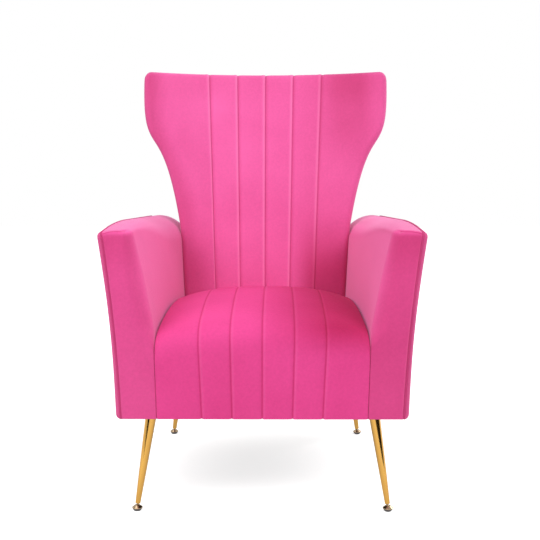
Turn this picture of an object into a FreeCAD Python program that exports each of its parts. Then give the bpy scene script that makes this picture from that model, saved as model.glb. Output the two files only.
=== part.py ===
import FreeCAD, Part
import math
import operator
import os
import types

import Sketcher
from FreeCAD import Placement, Rotation, Vector

# Wing chair: an upholstered body on four splayed metal legs with swivelling levelling glides.
# Millimetres. The origin lies on the floor under the middle of the chair, +Z is up, and the sitter faces -Y.
# Depths in the sheet are measured from the front of the chair, heights from the floor,
# and half widths from the middle plane.

SIZES = (
    ("overall_height", 1003, "floor to the top of the back"),
    ("overall_depth", 690, "front of the arms to the rear of the back"),
    ("body_clearance", 208, "floor to the underside of the upholstered body"),
    ("base_depth", 605, "front to the rear of the body at its underside"),
    ("arm_base_half", 307, "outside of the arm at its underside, front"),
    ("arm_top_half", 345, "outside of the arm at its top, front"),
    ("arm_rear_narrowing", 12, "how far the outside of the arm comes in towards the rear"),
    ("arm_front_height", 598, "top of the arm at the front"),
    ("arm_rear_height", 618, "top of the arm at the rear"),
    ("arm_outer_drop", 6, "fall of the arm's top towards its outer edge"),
    ("arm_inner_front_low", 224, "inside of the arm beside the seat, front"),
    ("arm_inner_front_top", 271, "inside of the arm at its top, front"),
    ("arm_inner_rear_low", 210.5, "inside of the arm beside the seat, rear"),
    ("arm_inner_rear_top", 227, "inside of the arm at its top, rear"),
    ("arm_bend_front_height", 369, "where the arm's inside begins to lean outwards, front"),
    ("arm_bend_rear_height", 400, "where the arm's inside begins to lean outwards, rear"),
    ("arm_front_round", 14, "radius along the inner top edge of the arm, front"),
    ("arm_rear_round", 44, "radius along the inner top edge of the arm, rear"),
    ("arm_panel_thickness", 12, "padded panel on the outside of the arm"),
    ("arm_panel_round", 7, "rounded outer edge of that panel"),
    ("cover_thickness", 1.8, "velvet with its backing"),
    ("cover_clearance", 0.3, "between a cover and what it lies on"),
    ("front_padding", 16, "padding in front of the timber frame"),
    ("rear_padding", 7, "room behind the timber of the arm"),
    ("arm_top_padding", 30, "padding on top of the arm"),
    ("timber_thickness", 24, "rails and posts of the seat and arms"),
    ("timber_gap", 0.3, "clearance between timbers at a glued joint"),
    ("frame_gap", 1.5, "between the outside arm panel and the timber"),
    ("rail_height", 80, "seat rails and the arm's bottom rail"),
    ("post_width", 46, "front and rear posts of the arm"),
    ("arm_top_rail_height", 42, "top rail of the arm"),
    ("tuck_rail_height", 30, "rail of the arm at seat level"),
    ("tuck_level", 322, "underside of the tuck rail and of the arm's inside padding"),
    ("arm_inside_padding", 3, "least room between the arm's timber and its padding"),
    ("rear_rail_depth", 572, "front face of the seat's rear rail"),
    ("webbing_rail_depth", 505, "front face of the rail that takes the rear ends of the webbing"),
    ("webbing_rail_height", 38, "height of that rail"),
    ("corner_block_leg", 110, "long side of a corner block"),
    ("corner_block_height", 40, "height of a corner block"),
    ("seat_web_width", 50, "width of a seat web"),
    ("seat_web_thickness", 2, "thickness of a seat web"),
    ("seat_web_margin", 3, "from the outer seat webs to the back's side uprights"),
    ("cross_web_pitch", 105, "spacing of the crosswise seat webs"),
    ("cross_web_start", 80, "depth of the first crosswise seat web"),
    ("seat_crown_height", 450, "top of the seat on the middle line"),
    ("seat_side_height", 406, "top of the seat beside the arms"),
    ("seat_front_drop", 20, "fall of the seat from its crown to its front roll"),
    ("seat_rear_drop", 12, "fall of the seat from its crown to the back"),
    ("seat_roll_depth", 70, "depth of the roll at the front of the seat"),
    ("seat_roll_height", 56, "height of the roll at the front of the seat"),
    ("seat_roll_fullness", 0.4, "share of the roll's depth at which it turns forward"),
    ("seat_seam_inner", 67, "seat seam next to the middle one, from the middle"),
    ("seat_seam_outer", 133, "outermost seat seam, from the middle"),
    ("seat_gap", 0.8, "between the seat and the arms or the back"),
    ("seat_depth", 495, "front to the inside back, where it is lumbar_height above the floor"),
    ("lumbar_height", 430, "height at which the seat depth is measured"),
    ("back_top_depth", 616, "front to the inside back at its top"),
    ("back_curve_radius", 690, "hollow of the inside back, seen from above"),
    ("back_low_height", 335, "lower end of the back's padding"),
    ("back_arm_gap", 1.2, "between the back and the arms beside it"),
    ("back_waist_half", 226, "half width of the back at its waist"),
    ("back_waist_height", 597, "height of the waist"),
    ("back_waist_lean", 10, "lean of the back's edge at the waist, in degrees"),
    ("back_waist_handle", 320, "how long the edge keeps the lean of the waist"),
    ("back_wing_half", 328, "half width of the back at the wings"),
    ("back_seam_inner_low", 66, "back seam next to the middle one, from the middle, at the lumbar height"),
    ("back_seam_inner_top", 77.5, "the same at the top of the back"),
    ("back_seam_outer_low", 132, "outermost back seam, from the middle, at the lumbar height"),
    ("back_seam_outer_top", 155, "the same at the top of the back"),
    ("back_wing_handle", 230, "how long the edge keeps the upright of the wing"),
    ("back_corner_round", 21, "rounded upper corner of the wing"),
    ("back_padding", 45, "padding on the inside back"),
    ("back_edge_padding", 24, "padding along the edges of the back"),
    ("back_flat_height", 330, "height up to which the outside back is flat"),
    ("outside_back_thickness", 4, "outside back cover with its card"),
    ("back_rail_thickness", 18, "sawn rails and wing boards of the back"),
    ("back_rail_height", 46, "height of the crest and lumbar rails"),
    ("back_rail_low", 440, "underside of the lumbar rail"),
    ("back_bottom_rail_height", 40, "height of the back's bottom rail"),
    ("upright_padding", 15.3, "least padding beside the back's side uprights"),
    ("upright_thickness", 18, "thickness of the back's side uprights"),
    ("wing_board_low", 660, "lower end of the wing boards"),
    ("back_web_width", 46, "width of a back web"),
    ("back_web_thickness", 1.6, "thickness of a back web"),
    ("back_web_pitch", 84, "spacing of the back webs"),
    ("back_bolt_half", 120, "half spacing of the bolts that hold the back"),
    ("back_bolt_radius", 4, "shank of such a bolt"),
    ("back_bolt_head_radius", 6.5, "head of such a bolt"),
    ("bolt_clearance", 0.3, "room round a bolt in its hole"),
    ("tee_nut_radius", 10, "flange of a tee nut"),
    ("tee_nut_thickness", 2, "flange thickness of a tee nut"),
    ("bolt_end", 8, "thread that stands past the tee nut"),
    ("dust_cover_thickness", 1, "black cloth under the seat"),
    ("dust_cover_edge", 14, "from the outside arm panel to the dust cover"),
    ("dust_cover_front", 26, "front edge of the dust cover"),
    ("dust_cover_rear", 576, "rear edge of the dust cover"),
    ("dust_cover_notch", 4, "room round a leg plate in the dust cover"),
    ("front_foot_half", 269, "middle of a front foot from the middle plane"),
    ("front_foot_depth", 34, "middle of a front foot"),
    ("rear_foot_half", 257, "middle of a rear foot from the middle plane"),
    ("rear_foot_depth", 599, "middle of a rear foot"),
    ("leg_splay", 0.1405, "lean of a leg each way, as run over rise"),
    ("leg_top_radius", 12.5, "leg tube at its plate"),
    ("leg_wall", 1.5, "wall of the leg tube"),
    ("leg_end_distance", 6.5, "from the ball's middle to the end of the leg"),
    ("plate_half", 28, "half side of a leg plate"),
    ("plate_thickness", 3, "thickness of a leg plate"),
    ("plate_corner_round", 6, "rounded corner of a leg plate"),
    ("ball_height", 9, "middle of the glide's ball above the floor"),
    ("ball_radius", 4.6, "ball of the glide's stud"),
    ("ball_clearance", 0.15, "between the ball and its socket"),
    ("stud_radius", 3, "threaded part of the stud"),
    ("stud_neck_radius", 2.4, "neck between ball and thread"),
    ("stud_neck_length", 5.2, "from the ball's middle to the thread"),
    ("stud_length", 26, "from the ball's middle to the stud's end"),
    ("stud_chamfer", 0.8, "chamfer at the stud's end"),
    ("bush_length", 14, "threaded bush in the leg's end"),
    ("bush_wall", 0.95, "wall of that bush"),
    ("bush_clearance", 0.06, "between stud and bush"),
    ("bush_seat", 0.09, "between bush and leg tube"),
    ("cap_radius", 11.3, "flange of the glide's cap"),
    ("cap_neck_radius", 6, "upper end of the glide's cap"),
    ("cap_flange_height", 1, "upright edge of the cap's flange"),
    ("cap_rise", 2.4, "upper end of the cap above the ball's middle"),
    ("sole_height", 6.2, "thickness of the sole under the cap"),
    ("sole_radius", 7.2, "part of the sole that meets the floor"),
    ("sole_rim_radius", 10.6, "sole under the cap's flange"),
    ("sole_rim_height", 1.4, "upright edge of the sole"),
)

SEAT_WEBS, CROSS_WEBS, BACK_WEBS = 5, 4, 4
SIDES = (("right", 1), ("left", -1))
ENDS = (("front", -1), ("rear", 1))

doc = FreeCAD.newDocument("wing_chair")
sheet = doc.addObject("Spreadsheet::Sheet", "Sizes")
for row, (alias, amount, note) in enumerate(SIZES, start=1):
    sheet.set(f"A{row}", note)
    sheet.set(f"B{row}", str(amount))
    sheet.setAlias(f"B{row}", alias)
doc.recompute()


class Size:
    """A size and the sheet expression that it follows, so that sums of sizes stay bound to the sheet."""

    def __init__(self, value, text):
        self.value = float(value)
        self.text = text

    def __add__(self, other):
        return combined(self, "+", other)

    def __radd__(self, other):
        return combined(other, "+", self)

    def __sub__(self, other):
        return combined(self, "-", other)

    def __rsub__(self, other):
        return combined(other, "-", self)

    def __mul__(self, other):
        return combined(self, "*", other)

    def __rmul__(self, other):
        return combined(other, "*", self)

    def __truediv__(self, other):
        return combined(self, "/", other)

    def __neg__(self):
        return combined(0, "-", self)

    def __float__(self):
        return self.value


SIGNS = {"+": operator.add, "-": operator.sub, "*": operator.mul, "/": operator.truediv}


def as_size(amount):
    return amount if isinstance(amount, Size) else Size(amount, repr(amount))


def combined(left, sign, right):
    left, right = as_size(left), as_size(right)
    return Size(SIGNS[sign](left.value, right.value), f"({left.text} {sign} {right.text})")


def root(size):
    return Size(math.sqrt(size.value), f"sqrt({size.text})")


def lesser(first, second):
    return Size(min(first.value, second.value), f"min({first.text}; {second.text})")


d = types.SimpleNamespace(**{alias: Size(getattr(sheet, alias), f"Sizes.{alias}") for alias, _, _ in SIZES})

nodes = []


def named(piece, label):
    """Give a finished sub-part the label that names its file."""
    piece.Label = label
    nodes.append(piece)
    return piece


def bind(piece, **sizes):
    for prop, size in sizes.items():
        piece.setExpression(prop.replace("__", "."), as_size(size).text)
    return piece


def formed(name, shape):
    """A piece whose form is lofted from sections worked out from the sheet."""
    piece = doc.addObject("Part::Feature", f"{name}_form")
    piece.Shape = shape
    piece.Placement = Placement()
    return piece


def gathered(label, pieces):
    """Like pieces that share one node, each still a solid of its own."""
    group = doc.addObject("Part::Compound", f"{label}_group")
    group.Links = pieces
    return named(group, label)


def mirrored(label, piece):
    """The left-hand twin of a right-hand piece."""
    twin = doc.addObject("Part::Mirroring", f"{label}_twin")
    twin.Source = piece
    twin.Normal = Vector(1, 0, 0)
    return twin


def both_sides(stem, piece):
    named(piece, f"{stem}_right")
    named(mirrored(f"{stem}_left", piece), f"{stem}_left")


# Sketched pieces

def origin_plane(body, role):
    return next(feature for feature in body.Origin.OriginFeatures if feature.Role == role)


def place_point(sketch, line, corner):
    """Hold the start of a sketched line at its corner, measured from the sketch's origin."""
    for kind, axis, size in (("DistanceX", -2, corner[0]), ("DistanceY", -1, corner[1])):
        if abs(size.value) < 1e-9:
            sketch.addConstraint(Sketcher.Constraint("PointOnObject", line, 1, axis))
            continue
        ends = (-1, 1, line, 1) if size.value > 0 else (line, 1, -1, 1)
        held = size if size.value > 0 else -size
        index = sketch.addConstraint(Sketcher.Constraint(kind, *ends, held.value))
        sketch.setExpression(f"Constraints[{index}]", held.text)


def sketched(body, name, plane, corners, lift=0):
    """A closed outline of straight lines on one of the body's planes, raised by lift along its normal."""
    sketch = body.newObject("Sketcher::SketchObject", name)
    sketch.AttachmentSupport = [(origin_plane(body, plane), "")]
    sketch.MapMode = "FlatFace"
    bind(sketch, AttachmentOffset__Base__z=lift)
    corners = [(as_size(across), as_size(up)) for across, up in corners]
    points = [Vector(across.value, up.value, 0) for across, up in corners]
    count = len(points)
    for index, point in enumerate(points):
        sketch.addGeometry(Part.LineSegment(point, points[(index + 1) % count]), False)
    for index in range(count):
        sketch.addConstraint(Sketcher.Constraint("Coincident", index, 2, (index + 1) % count, 1))
    for index, corner in enumerate(corners):
        place_point(sketch, index, corner)
    return sketch


def board(name, plane, corners, lift, thickness):
    """A piece sawn to an outline from a board."""
    body = doc.addObject("PartDesign::Body", name)
    outline = sketched(body, f"{name}_outline", plane, corners, lift)
    pad = body.newObject("PartDesign::Pad", f"{name}_pad")
    pad.Profile = outline
    bind(pad, Length=thickness)
    return body


def turned(name, corners):
    """A round piece: half its section, as radius and height, turned about its own axis."""
    body = doc.addObject("PartDesign::Body", name)
    section = sketched(body, f"{name}_section", "XZ_Plane", corners)
    spun = body.newObject("PartDesign::Revolution", f"{name}_turn")
    spun.Profile = section
    spun.ReferenceAxis = (section, ["V_Axis"])
    spun.Angle = 360
    return body


def box(name, low, size):
    """A plain block from its lowest corner and its three sides."""
    block = doc.addObject("Part::Box", name)
    bind(block, Length=size[0], Width=size[1], Height=size[2])
    bind(block, Placement__Base__x=low[0], Placement__Base__y=low[1], Placement__Base__z=low[2])
    return block


def rod(name, base, radius, height):
    """An upright cylinder from the middle of its lower end."""
    cylinder = doc.addObject("Part::Cylinder", name)
    bind(cylinder, Radius=radius, Height=height)
    bind(cylinder, Placement__Base__x=base[0], Placement__Base__y=base[1], Placement__Base__z=base[2])
    return cylinder


def cut(name, piece, tools):
    """A piece with holes or ends cut by other solids."""
    tool = tools[0]
    if len(tools) > 1:
        tool = doc.addObject("Part::MultiFuse", f"{name}_tools")
        tool.Shapes = tools
    result = doc.addObject("Part::Cut", f"{name}_cut")
    result.Base = piece
    result.Tool = tool
    return result


# Levels and slopes that several pieces share
front = -d.overall_depth / 2
frame_bottom = d.body_clearance + d.plate_thickness
rail_top = frame_bottom + d.rail_height
arm_flare = (d.arm_top_half - d.arm_base_half) / (d.arm_front_height - d.body_clearance)
arm_taper = d.arm_rear_narrowing / d.base_depth
rear_lean = (d.overall_depth - d.base_depth) / (d.overall_height - d.body_clearance)
recline = (d.back_top_depth - d.seat_depth) / (d.overall_height - d.lumbar_height)
upright_outer = lesser(d.arm_inner_rear_low, d.back_waist_half) - d.back_arm_gap - d.upright_padding
upright_inner = upright_outer - d.upright_thickness

# Arm frames: a slanted plane lies on the outside of the right arm, and its timbers are drawn on that plane,
# along the arm and up it. The left arm is the twin of the right one.
flare, taper = arm_flare.value, arm_taper.value
arm_along = Vector(-taper, 1, 0).normalize()
arm_out = Vector(1, taper, -flare).normalize()
arm_plane = Placement(
    Vector(d.arm_base_half.value, front.value, d.body_clearance.value),
    Rotation(arm_along, arm_out.cross(arm_along), arm_out, "ZXY"),
)
slope_length = root(1 + arm_flare * arm_flare)
arm_stack = d.arm_panel_thickness + d.frame_gap + d.timber_thickness


def up_arm(height):
    """Distance up the slanted plane of a height above the floor."""
    return (height - d.body_clearance) * slope_length


def arm_timber(stem, corners):
    timber = board(stem, "XY_Plane", corners, -arm_stack, d.timber_thickness)
    timber.Placement = arm_plane
    both_sides(stem, timber)


def rear_edge(height):
    """Rear edge of the arm's timber at a height."""
    return d.base_depth - d.rear_padding + rear_lean * (height - d.body_clearance)


post_inner = d.front_padding + d.post_width + d.timber_gap
front_top = d.arm_front_height - d.arm_top_padding
rear_top = d.arm_rear_height - d.arm_top_padding
timber_slope = (rear_top - front_top) / (rear_edge(rear_top) - d.front_padding)


def rear_post_face(height):
    return rear_edge(height) - d.post_width - d.timber_gap


def timber_line(depth):
    """Height of the arm's timber at a depth: one straight line along posts and top rail."""
    return front_top + timber_slope * (depth - d.front_padding)


front_post_end = d.front_padding + d.post_width
rear_post_start = rear_edge(rear_top) - d.post_width
top_rail_end = rear_post_face(rear_top)
arm_timber("arm_front_post", [
    (d.front_padding, up_arm(frame_bottom)),
    (front_post_end, up_arm(frame_bottom)),
    (front_post_end, up_arm(timber_line(front_post_end))),
    (d.front_padding, up_arm(front_top)),
])
arm_timber("arm_rear_post", [
    (rear_edge(frame_bottom) - d.post_width, up_arm(frame_bottom)),
    (rear_edge(frame_bottom), up_arm(frame_bottom)),
    (rear_edge(rear_top), up_arm(rear_top)),
    (rear_post_start, up_arm(timber_line(rear_post_start))),
])
arm_timber("arm_top_rail", [
    (post_inner, up_arm(timber_line(post_inner) - d.arm_top_rail_height)),
    (rear_post_face(rear_top - d.arm_top_rail_height),
     up_arm(timber_line(top_rail_end) - d.arm_top_rail_height)),
    (top_rail_end, up_arm(timber_line(top_rail_end))),
    (post_inner, up_arm(timber_line(post_inner))),
])
for stem, low, height in (
    ("arm_bottom_rail", frame_bottom, d.rail_height),
    ("arm_tuck_rail", d.tuck_level, d.tuck_rail_height),
):
    arm_timber(stem, [
        (post_inner, up_arm(low)),
        (rear_post_face(low), up_arm(low)),
        (rear_post_face(low + height), up_arm(low + height)),
        (post_inner, up_arm(low + height)),
    ])

# Seat frame: rails between the arms' timbers, with ends sawn to the flare of the arms
stack_across = arm_stack * root(1 + arm_flare * arm_flare + arm_taper * arm_taper)


def side_inner(depth, height):
    """Inner face of the arm's timber, less the clearance of a glued joint."""
    outer = d.arm_base_half + arm_flare * (height - d.body_clearance) - arm_taper * depth
    return outer - stack_across - d.timber_gap


def cross_rail(name, depth, low, height):
    far = depth + d.timber_thickness
    low_half, high_half = side_inner(far, low), side_inner(far, low + height)
    outline = [(-low_half, low), (low_half, low), (high_half, low + height), (-high_half, low + height)]
    return board(name, "XZ_Plane", outline, -(front + far), d.timber_thickness)


named(cross_rail("seat_front_rail", d.front_padding, frame_bottom, d.rail_height), "seat_front_rail")
named(
    cross_rail("seat_webbing_rail", d.webbing_rail_depth, rail_top - d.webbing_rail_height,
               d.webbing_rail_height),
    "seat_webbing_rail",
)

# Seat rear rail, bored for the two bolts that hold the back
bolt_depth = d.rear_rail_depth + d.timber_thickness / 2
bolt_places = [(side * d.back_bolt_half, front + bolt_depth) for _, side in SIDES]


def bolt_holes(stem, low, height):
    return [
        rod(f"{stem}_hole_{index}", (across, along, low), d.back_bolt_radius + d.bolt_clearance, height)
        for index, (across, along) in enumerate(bolt_places)
    ]


rear_rail = cross_rail("seat_rear_rail_board", d.rear_rail_depth, frame_bottom, d.rail_height)
named(cut("seat_rear_rail", rear_rail, bolt_holes("seat_rear_rail", frame_bottom, d.rail_height)),
      "seat_rear_rail")

# Corner blocks: a triangle glued into each corner of the seat frame, which takes the leg's screws
front_face = d.front_padding + d.timber_thickness + d.timber_gap
rear_face = d.rear_rail_depth - d.timber_gap
blocks = []
for end, near, away in (("front", front_face, 1), ("rear", rear_face, -1)):
    far = near + away * d.corner_block_leg
    corner = [(side_inner(near, frame_bottom), front + near),
              (side_inner(far, frame_bottom), front + far),
              (side_inner(near, frame_bottom) - d.corner_block_leg, front + near)]
    block = board(f"corner_block_{end}", "XY_Plane", corner, frame_bottom, d.corner_block_height)
    blocks += [block, mirrored(f"corner_block_{end}", block)]
gathered("corner_blocks", blocks)

# Seat webbing: lengthwise webs tacked on the front rail and the webbing rail, crosswise webs over them
outer_web = upright_inner - d.seat_web_margin - d.seat_web_width / 2
web_pitch = outer_web / ((SEAT_WEBS - 1) / 2)
web_start = d.front_padding + d.timber_gap
web_end = d.webbing_rail_depth + d.timber_thickness
gathered("seat_webbing_lengthwise", [
    box(f"seat_web_{index}",
        (index * web_pitch - outer_web - d.seat_web_width / 2, front + web_start, rail_top),
        (d.seat_web_width, web_end - web_start, d.seat_web_thickness))
    for index in range(SEAT_WEBS)
])
cross_half = side_inner(d.webbing_rail_depth, rail_top) - d.seat_gap
gathered("seat_webbing_crosswise", [
    box(f"cross_web_{index}", (-cross_half, front + d.cross_web_start + index * d.cross_web_pitch,
                               rail_top + d.seat_web_thickness),
        (2 * cross_half, d.seat_web_width, d.seat_web_thickness))
    for index in range(CROSS_WEBS)
])


# Soft forms: planar sections joined by straight or smooth lofts. Depths in these functions count from the
# front of the chair, and a skin is an outer form less an inner one.

def at(across, depth, height):
    return Vector(across, front.value + depth, height)


def rounded_wire(corners, radii, depth_at):
    """A closed outline in a plane that stands across the chair, with its corners rounded where asked."""
    edges = []
    count = len(corners)
    starts, stops, middles = [], [], []
    for index, (corner, radius) in enumerate(zip(corners, radii)):
        here = Vector(corner[0], 0, corner[1])
        before = Vector(corners[index - 1][0], 0, corners[index - 1][1]) - here
        after = Vector(corners[(index + 1) % count][0], 0, corners[(index + 1) % count][1]) - here
        before.normalize()
        after.normalize()
        half = before.getAngle(after) / 2
        reach = radius / math.tan(half)
        bisector = (before + after).normalize()
        starts.append(here + before * reach)
        stops.append(here + after * reach)
        middles.append(here + bisector * (radius / math.sin(half) - radius))
    flat = [[at(p.x, depth_at(p.z), p.z) for p in row] for row in (starts, middles, stops)]
    for index in range(count):
        if radii[index] > 0:
            edges.append(Part.Arc(flat[0][index], flat[1][index], flat[2][index]).toShape())
        edges.append(Part.makeLine(flat[2][index], flat[0][(index + 1) % count]))
    return Part.Wire(edges)


def rear_of_body(height):
    return d.base_depth.value + rear_lean.value * (height - d.body_clearance.value)


def back_face(height):
    return d.seat_depth.value + recline.value * (height - d.lumbar_height.value)


def hollow(across, radius):
    """How far a curve of that radius comes forward at a distance from the middle."""
    return radius - math.sqrt(radius * radius - across * across)


# Arm forms: three sections, at the front, where the back begins, and at the rear end

def arm_core(depth, height):
    """Inner side of the padded panel on the arm's outside."""
    outer = d.arm_base_half.value + flare * (height - d.body_clearance.value) - taper * depth
    return outer - (d.arm_panel_thickness.value + d.cover_clearance.value)


back_side_hollow = hollow(d.back_waist_half.value, d.back_curve_radius.value)
back_side_depth = back_face(d.back_waist_height.value) - back_side_hollow


def arm_section(end, skin, overhang, depth_at):
    """Section of the arm at its front or rear, drawn in by skin, open sides moved out by overhang."""
    low = d.body_clearance.value - overhang
    if end == "front":
        inner_low, inner_top = d.arm_inner_front_low.value, d.arm_inner_front_top.value
        bend, top, bow = d.arm_bend_front_height.value, d.arm_front_height.value, d.arm_front_round.value
    else:
        inner_low, inner_top = d.arm_inner_rear_low.value, d.arm_inner_rear_top.value
        bend, top, bow = d.arm_bend_rear_height.value, d.arm_rear_height.value, d.arm_rear_round.value
    outer_top = top - d.arm_outer_drop.value
    core_top = arm_core(depth_at(outer_top), outer_top)
    further_drop = d.arm_outer_drop.value * overhang / (core_top - inner_top)
    corners = [
        (arm_core(depth_at(low), low) + overhang, low),
        (core_top + overhang, outer_top - skin - further_drop),
        (inner_top + skin, top - skin),
        (inner_low + skin, bend),
        (inner_low + skin, low),
    ]
    return rounded_wire(corners, (0, 0, bow - skin, 0, 0), depth_at)


def arm_form(skin, overhang):
    return Part.makeLoft([
        arm_section("front", skin, overhang, lambda height: skin),
        arm_section("rear", skin, overhang, lambda height: back_side_depth),
        arm_section("rear", skin, overhang, lambda height: rear_of_body(height) - skin),
    ], True, True)


def block_between(low, high):
    """A plain block between two corners, given as across, depth and height."""
    side = [high[axis] - low[axis] for axis in range(3)]
    return Part.makeBox(*side, at(*low))


cover_in = d.cover_thickness.value
foam_in = cover_in + d.cover_clearance.value
reach = d.overall_depth.value
beyond = reach / 10
under_seat = block_between(
    (0, d.front_padding.value - d.cover_clearance.value, 0),
    (reach, d.base_depth.value - cover_in, d.tuck_level.value - d.cover_clearance.value),
)


def arm_timber_room():
    """The room that the arm's timber takes, open to the outside, the underside and the rear."""
    room_in = (arm_stack.value - d.arm_panel_thickness.value) + d.arm_inside_padding.value
    low = d.body_clearance.value - beyond
    room_front = d.front_padding.value - d.cover_clearance.value - arm_stack.value * taper
    sections = []
    for depth in (room_front, rear_of_body(d.arm_rear_height.value)):
        high = timber_line(depth).value + arm_stack.value * flare + d.timber_gap.value
        corners = [(arm_core(depth, low) + room_in, low), (arm_core(depth, high) + room_in, high),
                   (arm_core(depth, high) - room_in, high), (arm_core(depth, low) - room_in, low)]
        sections.append(rounded_wire(corners, (0, 0, 0, 0), lambda height, fixed=depth: fixed))
    return Part.makeLoft(sections, True, True)


def arm_cover():
    """Velvet over the inside, top, front and rear end of the arm, open to the outside and the underside."""
    skin = arm_form(0, 0).cut(arm_form(cover_in, beyond))
    return skin.cut(under_seat)


def arm_foam():
    """Padding on the inside, top and front of the arm, with room for the timber."""
    return arm_form(foam_in, 0).cut(arm_timber_room()).cut(under_seat)


both_sides("arm_cover", formed("arm_cover", arm_cover()))
both_sides("arm_foam", formed("arm_foam", arm_foam()))

# Outside arm panels: padded boards on the slanted plane, with a rounded outer edge
panel_top_front = d.arm_front_height - d.arm_outer_drop
panel_top_rear = d.arm_rear_height - d.arm_outer_drop


def panel_rear(height):
    return d.base_depth + rear_lean * (height - d.body_clearance)


panel = board("arm_outside_panel", "XY_Plane", [
    (0, 0),
    (panel_rear(d.body_clearance), 0),
    (panel_rear(panel_top_rear), up_arm(panel_top_rear)),
    (0, up_arm(panel_top_front)),
], -d.arm_panel_thickness, d.arm_panel_thickness)
doc.recompute()
outer_edges = [
    f"Edge{index}" for index, edge in enumerate(panel.Shape.Edges, start=1)
    if all(abs(vertex.Z) < 1e-6 for vertex in edge.Vertexes)
]
panel_board = panel.Tip
rounded = panel.newObject("PartDesign::Fillet", "arm_outside_panel_edge")
rounded.Base = (panel_board, outer_edges)
bind(rounded, Radius=d.arm_panel_round)
panel.Placement = arm_plane
both_sides("arm_outside_panel", panel)

# Seat: a section at each side and at each of its five seams, with flat channels between the seams.
# Each section rises from the front face through a roll to the crown and ends at the hollow of the back.
seat_bottom = rail_top.value + 2 * d.seat_web_thickness.value + d.cover_clearance.value


def seat_half(depth, skin):
    share = depth / d.seat_depth.value
    low_front, low_rear = d.arm_inner_front_low.value, d.arm_inner_rear_low.value
    return low_front + (low_rear - low_front) * share - d.seat_gap.value - skin


middle_half = seat_half(d.seat_depth.value / 2, 0)
inner_seam, outer_seam = d.seat_seam_inner.value / middle_half, d.seat_seam_outer.value / middle_half
SEAT_SHARES = (-1, -outer_seam, -inner_seam, 0, inner_seam, outer_seam, 1)


def seat_section(share, skin, overhang):
    """Section of the seat at a share of its half width, drawn in by skin, open sides out by overhang."""
    rise = 1 - share * share
    crown = d.seat_side_height.value + (d.seat_crown_height.value - d.seat_side_height.value) * rise - skin
    roll_top = crown - d.seat_front_drop.value
    rear_top_height = crown - d.seat_rear_drop.value
    low = d.body_clearance.value - overhang
    bottom = seat_bottom - overhang
    lip = d.front_padding.value - d.cover_clearance.value + overhang

    def spot(depth, height):
        return at(share * seat_half(depth, skin), depth, height)

    def rear_depth(height):
        edge = hollow(share * seat_half(d.seat_depth.value, 0), d.back_curve_radius.value)
        return back_face(height) - edge - d.seat_gap.value - skin

    roll_start = spot(skin, roll_top - d.seat_roll_height.value)
    roll_end_depth = skin + d.seat_roll_depth.value
    rear_point = (rear_depth(rear_top_height), rear_top_height)
    middle = (roll_end_depth + rear_point[0]) / 2
    roll = Part.BezierCurve()
    roll_turn = roll_end_depth * d.seat_roll_fullness.value
    roll_end = spot(roll_end_depth, roll_top)
    roll.setPoles([roll_start, spot(skin, roll_top), spot(roll_turn, roll_top), roll_end])
    crest = Part.BezierCurve()
    peak = 2 * crown - (roll_top + rear_top_height) / 2
    crest.setPoles([roll_end, spot(middle, peak), spot(*rear_point)])
    return Part.Wire([
        Part.makeLine(spot(skin, low), roll_start),
        roll.toShape(),
        crest.toShape(),
        Part.makeLine(spot(*rear_point), spot(rear_depth(bottom), bottom)),
        Part.makeLine(spot(rear_depth(bottom), bottom), spot(lip, bottom)),
        Part.makeLine(spot(lip, bottom), spot(lip, low)),
        Part.makeLine(spot(lip, low), spot(skin, low)),
    ])


def seat_form(skin, overhang):
    return Part.makeLoft([seat_section(share, skin, overhang) for share in SEAT_SHARES], True, True)


named(formed("seat_foam", seat_form(foam_in, 0)), "seat_foam")
named(formed("seat_cover", seat_form(0, 0).cut(seat_form(cover_in, beyond))), "seat_cover")

# Back: a hollow slab that leans back, trimmed by its front outline with waist and wings
back_rear_radius = d.back_curve_radius.value + d.overall_depth.value - d.back_top_depth.value
FLAT_RADIUS = 100 * d.overall_depth.value
PLAN_HEIGHTS = (0, d.back_flat_height.value, d.overall_height.value)


def back_seams(height):
    """How far the inner and the outer seams of the back lie from its middle seam, at a height."""
    rise = (height - d.lumbar_height.value) / (d.overall_height.value - d.lumbar_height.value)
    inner = d.back_seam_inner_low.value + (d.back_seam_inner_top.value - d.back_seam_inner_low.value) * rise
    outer = d.back_seam_outer_low.value + (d.back_seam_outer_top.value - d.back_seam_outer_low.value) * rise
    return inner, outer


def plan_section(height, front_depth, front_radius, rear_depth, rear_radius, sewn=False):
    """Plan of the back at a height: a hollow front, a rounded rear and two plain ends past the wings.

    A sewn front has flat channels between its seams."""
    half = d.back_wing_half.value + d.back_edge_padding.value

    def on_bow(across, depth, radius):
        return at(across, depth - hollow(across, radius), height)

    def bow(depth, radius, left, right):
        places = (left, (left + right) / 2, right)
        return Part.Arc(*[on_bow(across, depth, radius) for across in places]).toShape()

    if sewn:
        inner, outer = back_seams(height)
        seams = [on_bow(across, front_depth, front_radius) for across in (-outer, -inner, 0, inner, outer)]
        near = [bow(front_depth, front_radius, -half, -outer)]
        near += [Part.makeLine(first, second) for first, second in zip(seams, seams[1:])]
        near += [bow(front_depth, front_radius, outer, half)]
    else:
        near = [bow(front_depth, front_radius, -half, half)]
    far = bow(rear_depth, rear_radius, half, -half)
    right = Part.makeLine(near[-1].lastVertex().Point, far.firstVertex().Point)
    left = Part.makeLine(far.lastVertex().Point, near[0].firstVertex().Point)
    return Part.Wire([*near, right, far, left])


def front_plan(height, inward):
    """Depth and radius of the inside back, moved into the back by an amount."""
    return back_face(height) + inward, d.back_curve_radius.value + inward


def rear_plan(height, inward):
    """Depth and radius of the outside back, moved into the back by an amount."""
    radius = FLAT_RADIUS if height <= d.back_flat_height.value else back_rear_radius
    return rear_of_body(height) - inward, radius - inward


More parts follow.
